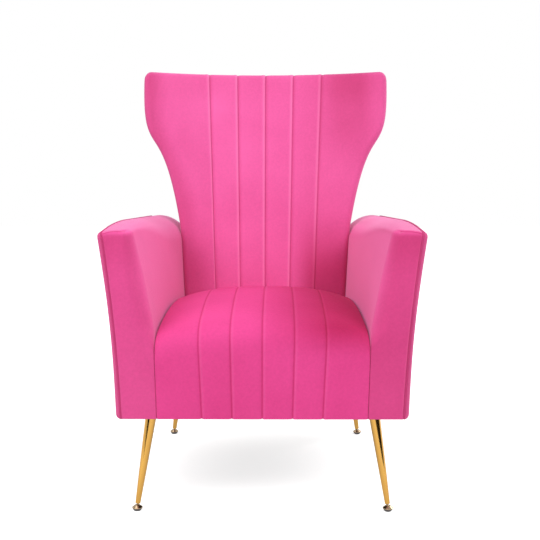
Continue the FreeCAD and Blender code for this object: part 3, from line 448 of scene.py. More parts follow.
def velvet(name, deep, bright, sheen=1.0):
    """Cut pile velvet: broad patches of two tones, a nap, fine flecks of pile, and a pale sheen.
    The attribute seam paints shade into seams and a highlight onto lips, and a second attribute paints shade
    over areas of a piece."""
    material, tree, shader, place = new_finish(name)
    patches = grained(tree, place, 4.5, detail=3, roughness=0.55)
    flecks = grained(tree, place, 330, detail=2)
    pile = grained(tree, place, 1500, detail=1)
    tone = two_tone(tree, ranged(tree, patches, 0, 1, 0.2, 0.8), deep, bright)
    speck = add_node(tree, "ShaderNodeMix", data_type="RGBA", blend_type="MULTIPLY")
    speck.inputs["Factor"].default_value = 0.35
    tree.links.new(tone, speck.inputs["A"])
    nap = grained(tree, place, 170, detail=3, roughness=0.65)
    grey = ranged(tree, nap, 0.80, 1.13, 0.25, 0.75)
    tree.links.new(grey, speck.inputs["B"])
    seam = add_node(tree, "ShaderNodeAttribute", attribute_name="seam").outputs["Fac"]
    # Painted shade in the seams and on the sunk edges beside them, from the seam attribute.
    seam_shade = add_node(tree, "ShaderNodeMix", data_type="RGBA", blend_type="MULTIPLY")
    tree.links.new(ranged(tree, seam, 0, 0.7), seam_shade.inputs["Factor"])
    tree.links.new(speck.outputs["Result"], seam_shade.inputs["A"])
    seam_shade.inputs["B"].default_value = SEAM_SHADE_TINT
    # Painted highlight on the raised lips beside the seams, from negative seam values.
    lip = add_node(tree, "ShaderNodeMix", data_type="RGBA")
    tree.links.new(ranged(tree, seam, 0, 0.6, 0, -1), lip.inputs["Factor"])
    tree.links.new(seam_shade.outputs["Result"], lip.inputs["A"])
    lip.inputs["B"].default_value = LIP_HIGHLIGHT_TINT
    # Painted shade over whole areas of a piece, from a per-point attribute.
    painted_shade = add_node(tree, "ShaderNodeAttribute", attribute_name="painted_shade").outputs["Fac"]
    painted_shade_mix = add_node(tree, "ShaderNodeMix", data_type="RGBA", blend_type="MULTIPLY")
    tree.links.new(painted_shade, painted_shade_mix.inputs["Factor"])
    tree.links.new(lip.outputs["Result"], painted_shade_mix.inputs["A"])
    painted_shade_mix.inputs["B"].default_value = SHADE_TINT
    tree.links.new(painted_shade_mix.outputs["Result"], shader.inputs["Base Color"])
    tree.links.new(ranged(tree, flecks, 0.7, 0.9), shader.inputs["Roughness"])
    shader.inputs["Sheen Weight"].default_value = sheen
    shader.inputs["Sheen Roughness"].default_value = 0.45
    shader.inputs["Sheen Tint"].default_value = SHEEN_TINT
    shader.inputs["Specular IOR Level"].default_value = 0.18
    relief = add_node(tree, "ShaderNodeMath", {0: flecks, 1: pile}).outputs["Value"]
    raised(tree, shader, relief, 0.0003, 0.5)
    return material


def paint_shade(piece, amount):
    """Paint shade onto a piece as a point attribute: amount gives how much at a point, from 0 to 1."""
    painted_shade = piece.data.attributes.new("painted_shade", "FLOAT", "POINT")
    for vert in piece.data.vertices:
        painted_shade.data[vert.index].value = amount(vert.co)


def eased(value, low, high):
    """A share that rises smoothly from 0 at low to 1 at high."""
    share = min(1.0, max(0.0, (value - low) / (high - low)))
    return share * share * (3 - 2 * share)


def arm_top(depth):
    """Height of the arm's top: it climbs behind the front seam, then falls a little towards the rear."""
    climb = 1 - (1 - min(1.0, depth / ARM_PEAK)) ** 2
    return ARM_FRONT_TOP + ARM_CLIMB * climb - ARM_FALL * max(0.0, depth - ARM_PEAK)


def arm_inner(depth, height):
    """Inside of the arm: nearly upright beside the seat, then leaning outwards from a bend.
    Each pair of numbers is for the front and for the rear."""
    share = min(1.0, depth / INNER_DEPTH)
    bend = mixed(BEND_FRONT, 0.400, share)
    low = mixed(0.2218, 0.2105, share)
    waist = mixed(0.2275, 0.2105, share)
    high = mixed(0.277, 0.227, share)
    if height < bend:
        return mixed(low, waist, (height - UNDERSIDE) / (bend - UNDERSIDE))
    return mixed(waist, high, (height - bend) / (arm_top(depth) - bend))


def seat_point(across, along):
    """Place of a point of the seat's cover: from the rear over the crown, round the roll, down the front."""
    first = mixed(*FIRST_CHANNEL, along)
    second = mixed(*SECOND_CHANNEL, along)
    share = stepped(across, SEAT_COLUMNS, (-1, -second, -first, 0, first, second, 1))
    crown = mixed(SEAT_CROWN, SEAT_SIDE, abs(share) ** CROWN_POWER)
    roll_top = crown - ROLL_DROP
    rear_top = crown - REAR_DROP
    row = along * sum(SEAT_ROWS)
    rear_half = REAR_HALF - SEAT_ROLL
    rear_depth = back_depth(rear_top) - hollow(share * rear_half, BACK_RADIUS)
    roll_low = roll_top - ROLL_FALL
    middle = (ROLL_DEPTH + rear_depth) / 2
    peak = 2 * crown - (roll_top + rear_top) / 2
    if row <= SEAT_ROWS[0]:
        spot = bezier([(rear_depth, rear_top), (middle, peak), (ROLL_DEPTH, roll_top)], row / SEAT_ROWS[0])
    elif row <= SEAT_ROWS[0] + SEAT_ROWS[1]:
        turn = (row - SEAT_ROWS[0]) / SEAT_ROWS[1]
        slope = (peak - roll_top) / (middle - ROLL_DEPTH)
        ahead = roll_top - (ROLL_DEPTH - ROLL_HANDLE) * slope
        handles = [(ROLL_HANDLE, ahead), (0, roll_top - FRONT_HANDLE)]
        spot = bezier([(ROLL_DEPTH, roll_top), *handles, (0, roll_low)], turn)
    else:
        fall = (row - SEAT_ROWS[0] - SEAT_ROWS[1]) / SEAT_ROWS[2]
        spot = Vector((0, mixed(roll_low, UNDERSIDE + SEAT_ROLL, fall)))
    half = arm_inner(spot.x, min(spot.y, BEND_FRONT)) - SEAT_GAP - SEAT_ROLL
    return Vector((share * half, FRONT + spot.x, spot.y))


def seat_painted_shade(co):
    """Painted shade: a little on the seat's front, most on the right of its top and roll."""
    top = SEAT_MOST_SHADE * eased(co.x, -0.05, 0.17)
    return mixed(SEAT_LEAST_SHADE, top, eased(co.z, 0.33, 0.40))


seat_velvet = velvet("seat_velvet", SEAT_DEEP, SEAT_BRIGHT, sheen=0.06)
bm = cloth_sheet(sum(SEAT_COLUMNS), sum(SEAT_ROWS), seat_point, (0, -1, 1))
sew_columns(bm, SEAT_COLUMNS, 1, SEAT_LIP)
seam = bm.verts.layers.float["seam"]
along = bm.verts.layers.float["along"]
# The seat's rear edge gets a raised lip with a painted highlight.
for vert in bm.verts:
    if vert[along] * sum(SEAT_ROWS) < 1.5 and vert[seam] == 0:
        vert[seam] = -REAR_LIP
rim, start = rolled_border(bm, SEAT_ROLL)
rim = tucked(bm, rim, start, SEAT_TUCK)
closed(bm, rim)
seat = made_piece(bm, "seat_pad", seat_velvet)
puffed(seat, sewn_points(seat, SEAT_COLUMNS, SEAT_ROWS), SEAT_PRESSURE)
sew_down(seat, SEAM_SINK)
paint_shade(seat, seat_painted_shade)
smoothed(seat)
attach(seat, "chair")
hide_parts("seat_cover", "seat_foam")

# Arms: velvet drawn over foam on the inside, top, front and rear end of each arm frame.
# The inner edge is tight beside the seat and soft above it, and opens to a wide round at the back.
# A sewn seam closes the front's top, and a dart ends it.

# Cells outwards, rearwards and upwards.
ARM_CELLS = (22, 96, 64)
GATHER = 0.08
FLARE = 0.0992
TAPER = 0.0198
REAR_LEAN = 0.1069
REAR_DEPTH = 0.605
PANEL = 0.012
ARM_HALF = 0.3095
ARM_RISE = 0.400
ARM_HOLLOW = 0.005
ARM_FULL = 0.004
FULL_DEPTH = 0.5
TOP_FALL = 0.005
ARM_SINK = 0.0014
UNDER_LIFT = 0.0053
LIFT_ZONE = (0.010, 0.018)
ROUND_BACK = 0.42
FRONT_SEAM_END = 2
DART = 2.2
TOP_LIP = 0.35
SIDE_SIGNS = {"right": 1, "left": -1}
# Lips beside the welt: raised, with a painted highlight that is stronger on the right arm.
WELT_LIP_HIGHLIGHT = {"right": 0.35, "left": 0.2}
# Painted shade on each arm's front and top, heavier on the right arm.
FRONT_SHADE = {"right": 0.54, "left": 0.40}
TOP_SHADE = {"right": 0.26, "left": 0.0}
ARM_DEEP = (0.68, 0.066, 0.264)
ARM_BRIGHT = (0.80, 0.096, 0.334)


def arm_outer(depth, height):
    """Outside of the arm, with its padded panel: flared, tapering rearwards and a little hollow."""
    rise = min(1.0, (height - UNDERSIDE) / ARM_RISE)
    flat = ARM_HALF + FLARE * (height - UNDERSIDE) - TAPER * depth
    return flat - ARM_HOLLOW * math.sin(math.pi * rise)


def softened(distances, radii):
    """Round a corner: distances from its planes, each with the radius of the round there."""
    shares = [max(0.0, 1 - distance / radius) for distance, radius in zip(distances, radii)]
    length = math.sqrt(sum(share * share for share in shares))
    if length == 0:
        return distances
    keep = max(shares) / length
    return [radius * (1 - share * keep) if share > 0 else distance
            for distance, share, radius in zip(distances, shares, radii)]


def block_of_cells(counts):
    """A unit block cut into cells along its three axes."""
    bm = bmesh.new()
    bmesh.ops.create_cube(bm, size=1)
    for axis, count in enumerate(counts):
        lines = [edge for edge in bm.edges
                 if abs(edge.verts[0].co[axis] - edge.verts[1].co[axis]) > 0.5]
        bmesh.ops.subdivide_edges(bm, edges=lines, cuts=count - 1, use_grid_fill=True)
    return bm


def above_seat(height):
    """How far a height is clear of the seat beside the arm, as a share."""
    return eased(height, 0.345, 0.410)


def below_top(low, high, height):
    """A size of the arm's inner edge: low at half height, running to high near the top."""
    return mixed(low, high, eased(height, 0.500, 0.600))


def arm_front_round(height, room):
    """Radius along the arm's front, with room from the inside: tight beside the seat, softest above it at
    the inner edge, and crisp towards the outside and along the top's seam."""
    inner = mixed(0.0015, below_top(0.038, 0.026, height), above_seat(height))
    crisp = max(eased(room, 0.020, 0.055), eased(height, 0.570, 0.592) * eased(room, 0.004, 0.022))
    return mixed(inner, min(inner, 0.007), crisp)


def gathered(share):
    """Draw a block's cells closer together towards its ends."""
    return share - GATHER * math.sin(math.tau * share)


def arm_place(share, outwards, lift=0.0):
    """Depth, top and height in the arm for shares rearwards and upwards, at a share of its width.
    The underside can be lifted between the front and the rear, to leave room for the leg plates."""
    rear = REAR_DEPTH + REAR_LEAN * share.z * ARM_RISE
    depth = share.y * rear
    top = arm_top(depth) - TOP_FALL * outwards ** 4
    low = UNDERSIDE + lift * eased(depth, *LIFT_ZONE) * eased(rear - depth, *LIFT_ZONE)
    return depth, top, mixed(low, top, share.z)


def arm_point(share, side):
    """Place of a point of the arm's block, given as shares outwards, rearwards and upwards."""
    share = Vector((share.x, gathered(share.y), gathered(share.z)))
    depth, top, height = arm_place(share, share.x, UNDER_LIFT)
    inner = arm_inner(depth, height)
    across = mixed(inner, arm_outer(depth, height) - PANEL, share.x)
    opening = eased(depth, 0.0, ROUND_BACK)
    swell = math.sin(math.pi * share.z) * math.sin(math.pi * min(1.0, depth / FULL_DEPTH))
    full = ARM_FULL * (1 - share.x) * swell
    inner -= full
    room = across - inner - full * share.x
    inside = mixed(0.002, mixed(below_top(0.036, 0.024, height), 0.084, opening), above_seat(height))
    above = mixed(mixed(0.008, 0.062, opening), mixed(0.012, 0.020, opening), eased(share.x, 0.6, 0.95))
    rooms = (depth, room, top - height)
    to_front, to_inside, to_top = softened(rooms, (arm_front_round(height, room), inside, above))
    return Vector((side * (inner + to_inside), FRONT + to_front, top - to_top))


def arm_seam(share, name):
    """Seam value at a point of the arm's block: along the front's top with a dart at its inner end,
    beside the welt, and raised lips behind the one and inside the other."""
    # Seam values also paint shade along the seams, the dart and the welt's edge, and a highlight on the lips.
    column, row, level = [round(part * count) for part, count in zip(share, ARM_CELLS)]
    last = ARM_CELLS[0]
    front, top = row == 0, level == ARM_CELLS[2]
    if front and top and column == FRONT_SEAM_END:
        return DART
    if front and top and column > FRONT_SEAM_END or column == last and (front or top):
        return 1.0
    if row == 1 and top and FRONT_SEAM_END <= column < last:
        return -TOP_LIP
    if front and share.z < 0.98 and column == last - 1:
        return -WELT_LIP_HIGHLIGHT[name]
    return 0.0


def arm_painted_shade(co, name):
    """Painted shade on the arm's front, most near its top, and on the right arm's top."""
    ahead = 1 - eased(co.y, FRONT + 0.002, FRONT + 0.036)
    front = (FRONT_SHADE[name] + 0.16 * eased(co.z, 0.50, 0.585)) * ahead
    return mixed(front, TOP_SHADE[name], eased(co.z, 0.590, 0.600))


arm_velvet = velvet("arm_velvet", ARM_DEEP, ARM_BRIGHT, sheen=0.75)
for name, side in SIDE_SIGNS.items():
    bm = block_of_cells(ARM_CELLS)
    seam = bm.verts.layers.float.new("seam")
    for vert in bm.verts:
        share = vert.co + Vector((0.5, 0.5, 0.5))
        vert.co = arm_point(share, side)
        vert[seam] = arm_seam(share, name)
    bmesh.ops.recalc_face_normals(bm, faces=bm.faces)
    arm = made_piece(bm, f"arm_pad_{name}", arm_velvet)
    sew_down(arm, ARM_SINK)
    paint_shade(arm, lambda co: arm_painted_shade(co, name))
    smoothed(arm)
    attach(arm, "chair")
    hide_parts(f"arm_cover_{name}", f"arm_foam_{name}")

# Front stitches: short dark pink threads down the seams between the seat and each arm's front.
# They lie in the valley of the seam and stop where the seat rolls back.

STITCH_PITCH = 0.0026
STITCH_TOP = 0.366
STITCH_INSET = 0.0004
STITCH_SINK = 0.0009
STITCH_HALF = (0.0007, 0.0006, 0.0010, 1)
THREAD_DEEP = (0.44, 0.028, 0.125)
THREAD_BRIGHT = (0.52, 0.040, 0.150)
bm = bmesh.new()
for side in (1, -1):
    for step in range(int((STITCH_TOP - UNDERSIDE) / STITCH_PITCH)):
        height = UNDERSIDE + STITCH_PITCH * (step + 0.5)
        across = side * (arm_inner(0, height) - STITCH_INSET)
        spot = Matrix.Translation((across, FRONT + STITCH_SINK, height))
        bmesh.ops.create_icosphere(bm, subdivisions=1, radius=1, matrix=spot @ Matrix.Diagonal(STITCH_HALF))
thread = velvet("stitch_thread", THREAD_DEEP, THREAD_BRIGHT, sheen=0.2)
stitches = made_piece(bm, "front_stitches", thread)
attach(stitches, "chair")

# Outside arm panels: thinly padded boards covered in velvet, a little hollow from top to bottom.
# Each is stapled to the arm frame, its edge is rounded over to the arm and its foot is rounded in.

PANEL_CELLS = (4, 80, 64)
PANEL_FOOT = 0.009
FOOT_TURN = 0.86
PANEL_FRONT = 0.012
PANEL_HOLLOW = 0.002
# A darker copy of the arm velvet: painted shade on the outward faces of the panels and on the outside back.
PANEL_SHADED_DEEP = (0.54, 0.054, 0.190)
PANEL_SHADED_BRIGHT = (0.65, 0.080, 0.245)


def panel_point(share, side):
    """Place of a point of the panel's block, given as shares outwards, rearwards and upwards."""
    share = Vector((share.x, gathered(share.y), gathered(share.z)))
    depth, top, height = arm_place(share, 1.0)
    outer = arm_outer(depth, height)
    inner = outer - PANEL
    under = FOOT_TURN * max(0.0, 1 - (height - UNDERSIDE) / PANEL_FOOT)
    outer -= PANEL_FOOT * (1 - math.sqrt(1 - under * under))
    across = mixed(inner, outer, share.x)
    rooms = (depth, outer - across, top - height)
    above = mixed(0.012, 0.020, eased(depth, 0.0, ROUND_BACK))
    to_front, to_side, to_top = softened(rooms, (PANEL_FRONT, PANEL, above))
    sink = PANEL_HOLLOW * share.x * math.sin(math.pi * share.z)
    return Vector((side * (outer - to_side - sink), FRONT + to_front, top - to_top))


panel_shaded_velvet = velvet("panel_shaded_velvet", PANEL_SHADED_DEEP, PANEL_SHADED_BRIGHT, sheen=0.6)
for name, side in SIDE_SIGNS.items():
    bm = block_of_cells(PANEL_CELLS)
    for vert in bm.verts:
        vert.co = panel_point(vert.co + Vector((0.5, 0.5, 0.5)), side)
    bmesh.ops.recalc_face_normals(bm, faces=bm.faces)
    panel = made_piece(bm, f"arm_outside_{name}", panel_shaded_velvet)
    smoothed(panel)
    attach(panel, "chair")
    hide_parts(f"arm_outside_panel_{name}")

# Welts: thin cords covered in velvet, sewn in between the arm cover and its outside panel; their velvet is
# set darker as painted shade in that seam.
# Each runs up the front of the arm, back along its top and down its rear end.

WELT_RADIUS = 0.0023
WELT_STEPS = 60
WELT_SPACING = 0.004
WELT_START = 0.4
# A darker copy of the velvet: painted shade along the welts.
WELT_SHADED_DEEP = (0.42, 0.027, 0.125)
WELT_SHADED_BRIGHT = (0.50, 0.040, 0.160)


def welt_path(side):
    """Points along the edge where the arm cover meets its panel."""
    rise = [Vector((1, 0, max(step, WELT_START) / WELT_STEPS)) for step in range(WELT_STEPS + 1)]
    run = [Vector((1, step / WELT_STEPS, 1)) for step in range(1, WELT_STEPS + 1)]
    fall = [Vector((1, 1, 1 - step / WELT_STEPS)) for step in range(1, WELT_STEPS + 1)]
    return [arm_point(share, side) for share in rise + run + fall]


def tube_along(points, radius, name, material):
    """A round cord along points."""
    curve = bpy.data.curves.new(name, "CURVE")
    curve.dimensions = "3D"
    curve.bevel_depth = radius
    curve.bevel_resolution = 3
    curve.use_fill_caps = True
    line = curve.splines.new("POLY")
    line.points.add(len(points) - 1)
    for spot, point in zip(line.points, points):
        spot.co = (*point, 1)
    shape = bpy.data.objects.new(f"{name}_line", curve)
    mesh = bpy.data.meshes.new_from_object(shape)
    bpy.data.objects.remove(shape)
    bm = bmesh.new()
    bm.from_mesh(mesh)
    bpy.data.meshes.remove(mesh)
    bmesh.ops.remove_doubles(bm, verts=bm.verts, dist=0.00001)
    bmesh.ops.recalc_face_normals(bm, faces=bm.faces)
    return made_piece(bm, name, material)


welt_shaded_velvet = velvet("welt_shaded_velvet", WELT_SHADED_DEEP, WELT_SHADED_BRIGHT, sheen=0.3)
for name, side in SIDE_SIGNS.items():
    points = welt_path(side)
    spaced = [points[0]]
    for point in points[1:]:
        if (point - spaced[-1]).length > WELT_SPACING:
            spaced.append(point)
    welt = tube_along(spaced, WELT_RADIUS, f"arm_welt_{name}", welt_shaded_velvet)
    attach(welt, "chair")

# Back: a hollow, leaning back with a waist above the arms and two wings, in one velvet cover over foam.
# Five seams with lapped lips run from its top to the seat, and a cloth simulation swells the panels.
# The cover rolls over the edges and runs back as a plain border.

# Cells across the panels, and cells up beside the seat, the arm, the wing and its corner.
BACK_COLUMNS = (24, 12, 12, 12, 12, 24)
BACK_ROWS = (8, 22, 54, 4)
BACK_LOW = 0.335
BACK_ROLL = 0.014
BACK_TOP = 1.008
WING_HALF = 0.3230
WING_CORNER = Vector((0.018, 0.030))
LOW_HALF = 0.2093
LOW_BEND = 0.400
WAIST = Vector((0.2248, 0.597))
WAIST_LEAN = math.radians(10)
WAIST_HANDLE = 0.320
WING_HANDLE = 0.222
TOP_BAND = 0.6
CHANNELS_LOW = 0.440
FIRST_SEAM = (0.066, 0.0775)
SECOND_SEAM = (0.132, 0.155)
REAR_RADIUS = 0.764
OUTSIDE_BACK = 0.004
BORDER_STEPS = 8
# Lip amount beside the back's seams: raised, with a painted highlight.
BACK_LIP = 0.8
BACK_PRESSURE = 1.2
BACK_DEEP = (0.68, 0.082, 0.285)
BACK_BRIGHT = (0.80, 0.120, 0.370)


def back_side(along, inset):
    """Edge of the back on the right, drawn in by inset: beside the arm, waist, wing and half the corner."""
    low_half = LOW_HALF - inset
    waist = WAIST - Vector((inset, 0))
    corner = WING_CORNER - Vector((inset, inset))
    wing = Vector((WING_HALF - inset, BACK_TOP - WING_CORNER.y))
    row = along * sum(BACK_ROWS)
    if row <= BACK_ROWS[0]:
        return Vector((low_half, mixed(BACK_LOW, LOW_BEND, row / BACK_ROWS[0])))
    row -= BACK_ROWS[0]
    if row <= BACK_ROWS[1]:
        return Vector((low_half, LOW_BEND)).lerp(waist, row / BACK_ROWS[1])
    row -= BACK_ROWS[1]
    if row <= BACK_ROWS[2]:
        low_handle = waist + Vector((math.sin(WAIST_LEAN), math.cos(WAIST_LEAN))) * WAIST_HANDLE
        high_handle = wing - Vector((0, WING_HANDLE))
        return bezier([waist, low_handle, high_handle, wing], row / BACK_ROWS[2])
    turn = math.radians(45) * (row - BACK_ROWS[2]) / BACK_ROWS[3]
    return wing + Vector(((math.cos(turn) - 1) * corner.x, math.sin(turn) * corner.y))


def back_edge_top(across, inset):
    """Height of the back's upper edge at a distance from the middle."""
    corner = WING_CORNER - Vector((inset, inset))
    past = max(0.0, abs(across) - (WING_HALF - WING_CORNER.x)) / corner.x
    return BACK_TOP - WING_CORNER.y + corner.y * math.sqrt(max(0.0, 1 - past * past))


def back_plan(across, along, inset):
    """Place in the back's front outline, from side to side and from bottom to top."""
    edge = back_side(along, inset)
    rise = (edge.y - CHANNELS_LOW) / (BACK_TOP - CHANNELS_LOW)
    first = mixed(*FIRST_SEAM, rise) / edge.x
    second = mixed(*SECOND_SEAM, rise) / edge.x
    share = stepped(across, BACK_COLUMNS, (-1, -second, -first, 0, first, second, 1))
    x = share * edge.x
    corner = back_side(1.0, inset)
    lift = max(0.0, (along - TOP_BAND) / (1 - TOP_BAND)) ** 2
    z = edge.y + (back_edge_top(share * corner.x, inset) - corner.y) * lift
    return x, z


def back_point(across, along):
    """Place of a point of the back's cover."""
    x, z = back_plan(across, along, BACK_ROLL)
    return Vector((x, FRONT + back_depth(z) - hollow(x, BACK_RADIUS), z))


def back_rear(x, z):
    """Outside back: flat behind the seat, and rounding towards the top."""
    bow_low = 0.330
    bow = min(1.0, max(0.0, (z - bow_low) / (BACK_TOP - bow_low)))
    return FRONT + REAR_DEPTH + REAR_LEAN * (z - UNDERSIDE) - bow * hollow(x, REAR_RADIUS)


back_velvet = velvet("back_velvet", BACK_DEEP, BACK_BRIGHT)
bm = cloth_sheet(sum(BACK_COLUMNS), sum(BACK_ROWS), back_point, (0, -1, 0))
sew_columns(bm, BACK_COLUMNS, -1, BACK_LIP)
rim, _ = rolled_border(bm, BACK_ROLL, steps=6)
for step in range(BORDER_STEPS):
    left_over = BORDER_STEPS - step

    def further(vert):
        point = vert.co.copy()
        point.y = mixed(point.y, back_rear(point.x, point.z) - OUTSIDE_BACK, 1 / left_over)
        return point

    rim, _ = drawn_on(bm, rim, further)
closed(bm, rim)
back = made_piece(bm, "back_pad", back_velvet)
puffed(back, sewn_points(back, BACK_COLUMNS, BACK_ROWS), BACK_PRESSURE)
sew_down(back, SEAM_SINK)


def back_painted_shade(co):
    """Painted shade beside the arms, over the right side and the right wing, and along the top and the left
    edge.
    """
    low = 1 - eased(co.z, 0.46, 0.64)
    right, left = eased(co.x, 0.05, 0.14), eased(-co.x, 0.10, 0.20)
    wing = eased(co.x, 0.13, 0.21) * (1 - eased(co.x, 0.25, 0.31)) * eased(co.z, 0.72, 0.95)
    half = mixed(0.225, WING_HALF, eased(co.z, 0.62, 0.92))
    edge = 1 - eased(half + co.x, 0.005, 0.060)
    top = eased(co.z, 0.90, 0.985)
    most = 0.95 * low * right + 0.55 * low * left + 0.41 * wing + 0.21 * right * (1 - low)
    return min(1.0, most + 0.42 * edge * (1 - low) + 0.16 * top)


paint_shade(back, back_painted_shade)
smoothed(back)
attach(back, "chair")
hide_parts("back_cover", "back_foam")

# Outside back: one flat velvet panel over card, from the top of the back to the underside.
# It is blind stitched to the border of the back and stapled under the rear rail.

OUTSIDE_ROUND = 0.0035
OUTSIDE_DROP = 0.45
OUTSIDE_ROWS = 160
OUTSIDE_TUCK = 0.0006


def outside_point(across, along):
    """Place of a point of the outside back: straight down below the inside back's foot, its outline above."""
    low = UNDERSIDE + OUTSIDE_ROUND
    if along < OUTSIDE_DROP:
        x, z = back_plan(across, 0.0, OUTSIDE_ROUND)
        z = mixed(low, BACK_LOW, along / OUTSIDE_DROP)
    else:
        x, z = back_plan(across, (along - OUTSIDE_DROP) / (1 - OUTSIDE_DROP), OUTSIDE_ROUND)
    return Vector((x, back_rear(x, z), z))


bm = cloth_sheet(sum(BACK_COLUMNS), OUTSIDE_ROWS, outside_point, (0, 1, 0))
rim, start = rolled_border(bm, OUTSIDE_ROUND, steps=3)
rim = tucked(bm, rim, start, OUTSIDE_TUCK)
closed(bm, rim)
# The outside back takes the darker panel velvet: painted shade.
outside = made_piece(bm, "outside_back", panel_shaded_velvet)
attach(outside, "chair")
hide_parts("outside_back_cover")

# Dust cover: black non-woven cloth stretched under the seat frame and cut away round the leg plates.
# It sags a little in the middle, and wire staples hold it along its edges.

cover_low, cover_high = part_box("dust_cover")
PLATE_HALF = 0.028
PLATE_ROOM = 0.005
FRONT_PLATE = (0.241, -0.283)
REAR_PLATE = (0.229, 0.226)
PLATE_PLACES = [(side * half, along) for half, along in (FRONT_PLATE, REAR_PLATE) for side in (1, -1)]
SAG = 0.003
DUST_CELLS = 80
DUST_THICKNESS = 0.0008
DUST_DARK = (0.012, 0.012, 0.013)
DUST_PALE = (0.03, 0.03, 0.032)
STAPLES = 9
STAPLE_REACH = 0.17
STAPLE_END = 0.008
STAPLE_SIDE = 0.016
STAPLE_DROP = 0.0006
STAPLE_SIZE = (0.010, 0.0012, 0.0010, 1)


def dust_cloth():
    material, tree, shader, place = new_finish("dust_cloth")
    dimple = add_node(tree, "ShaderNodeTexVoronoi", {"Vector": place, "Scale": 700}).outputs["Distance"]
    fibre = grained(tree, place, 60, detail=4)
    tree.links.new(two_tone(tree, fibre, DUST_DARK, DUST_PALE), shader.inputs["Base Color"])
    shader.inputs["Roughness"].default_value = 0.8
    raised(tree, shader, dimple, 0.0003, 0.6)
    return material


def cover_point(across, along):
    """Place of a point of the dust cover, which narrows towards the rear as the seat frame does."""
    x = mixed(cover_low.x, cover_high.x, across)
    y = mixed(cover_low.y, cover_high.y, along)
    narrowing = TAPER * (y - cover_low.y)
    x -= math.copysign(narrowing, x) * abs(across - 0.5) * 2
    drop = SAG * math.sin(math.pi * across) * math.sin(math.pi * along)
    return Vector((x, y, mixed(cover_low.z, cover_high.z, 0.5) - drop))


def near_plate(spot):
    """Whether a spot lies under a leg plate or in the room round it."""
    return any(max(abs(spot.x - x), abs(spot.y - y)) < PLATE_HALF + PLATE_ROOM for x, y in PLATE_PLACES)


bm = cloth_sheet(DUST_CELLS, DUST_CELLS, cover_point, (0, 0, -1))
under_plates = [face for face in bm.faces if near_plate(face.calc_center_median())]
bmesh.ops.delete(bm, geom=under_plates, context="FACES")
bmesh.ops.solidify(bm, geom=bm.faces[:], thickness=DUST_THICKNESS)
bmesh.ops.recalc_face_normals(bm, faces=bm.faces)
dust = made_piece(bm, "dust_cloth", dust_cloth())
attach(dust, "chair")
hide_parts("dust_cover")

bm = bmesh.new()
for step in range(STAPLES):
    along = mixed(-STAPLE_REACH, STAPLE_REACH, step / (STAPLES - 1))
    for x, y, turn in ((along, cover_low.y + STAPLE_END, 0), (along, cover_high.y - STAPLE_END, 0),
                       (cover_high.x - STAPLE_SIDE, along, 90), (cover_low.x + STAPLE_SIDE, along, 90)):
        turned = Matrix.Rotation(math.radians(turn), 4, "Z")
        spot = Matrix.Translation((x, y, cover_low.z - STAPLE_DROP)) @ turned
        bmesh.ops.create_cube(bm, size=1, matrix=spot @ Matrix.Diagonal(STAPLE_SIZE))
staples = made_piece(bm, "dust_cover_staples", zinc, smooth=False)
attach(staples, "chair")

# Leg screws: four pan-headed wood screws through each leg plate into its corner block.
# The heads are turned, with a round driver socket.

plate_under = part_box("leg_plates")[0].z
SCREW_OFFSET = 0.019
SCREW_HEAD = ((0.0, 0.0010), (0.0016, 0.0010), (0.0018, 0.0023),
              (0.0032, 0.0019), (0.0040, 0.0009), (0.0040, 0.0))
SCREW_STEPS = 12
bm = bmesh.new()
for x, y in PLATE_PLACES:
    for dx in (-SCREW_OFFSET, SCREW_OFFSET):
        for dy in (-SCREW_OFFSET, SCREW_OFFSET):
            centre = Vector((x + dx, y + dy, plate_under))
            line = [bm.verts.new(centre + Vector((out, 0, -down))) for out, down in SCREW_HEAD]
            edges = [bm.edges.new(pair) for pair in zip(line, line[1:])]
            bmesh.ops.spin(bm, geom=line + edges, cent=centre, axis=(0, 0, 1), angle=math.tau,
                           steps=SCREW_STEPS, use_merge=True)
bmesh.ops.remove_doubles(bm, verts=bm.verts, dist=0.00001)
bmesh.ops.holes_fill(bm, edges=rim_of(bm), sides=0)
bmesh.ops.recalc_face_normals(bm, faces=bm.faces)
screws = made_piece(bm, "leg_screws", zinc, smooth=False)
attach(screws, "chair")

# Legs: tapered steel tubes, polished and plated in gold, each welded to a plate under the seat frame.
# They carry swivelling levelling glides: a threaded, ball-ended stud, a bright cap and a dark plastic sole.

GOLD_TONES = (0.385, 0.21, 0.047), (0.45, 0.257, 0.064)
CAP_TONES = (0.30, 0.215, 0.13), (0.44, 0.33, 0.21)
SOLE_TONES = (0.03, 0.026, 0.024), (0.06, 0.052, 0.047)
STUD_TONES = (0.26, 0.19, 0.12), (0.46, 0.35, 0.23)
THREAD_SCALE = 314


def gold_plate():
    material, tree, shader, place = new_finish("gold_plate")
    cloud = grained(tree, place, 14, detail=3)
    tree.links.new(two_tone(tree, cloud, *GOLD_TONES), shader.inputs["Base Color"])
    hairline = grained(tree, place, 900, (1, 1, 0.05))
    tree.links.new(ranged(tree, hairline, 0.06, 0.12), shader.inputs["Roughness"])
    shader.inputs["Metallic"].default_value = 1.0
    return material


def bright_cap():
    material, tree, shader, place = new_finish("bright_cap")
    cloud = grained(tree, place, 90, detail=2)
    tree.links.new(two_tone(tree, cloud, *CAP_TONES), shader.inputs["Base Color"])
    tree.links.new(ranged(tree, grained(tree, place, 1200), 0.08, 0.22), shader.inputs["Roughness"])
    shader.inputs["Metallic"].default_value = 1.0
    return material


def dark_sole():
    material, tree, shader, place = new_finish("dark_sole")
    speck = grained(tree, place, 1400)
    tree.links.new(two_tone(tree, speck, *SOLE_TONES), shader.inputs["Base Color"])
    tree.links.new(ranged(tree, speck, 0.4, 0.6), shader.inputs["Roughness"])
    raised(tree, shader, speck, 0.0002, 0.4)
    return material


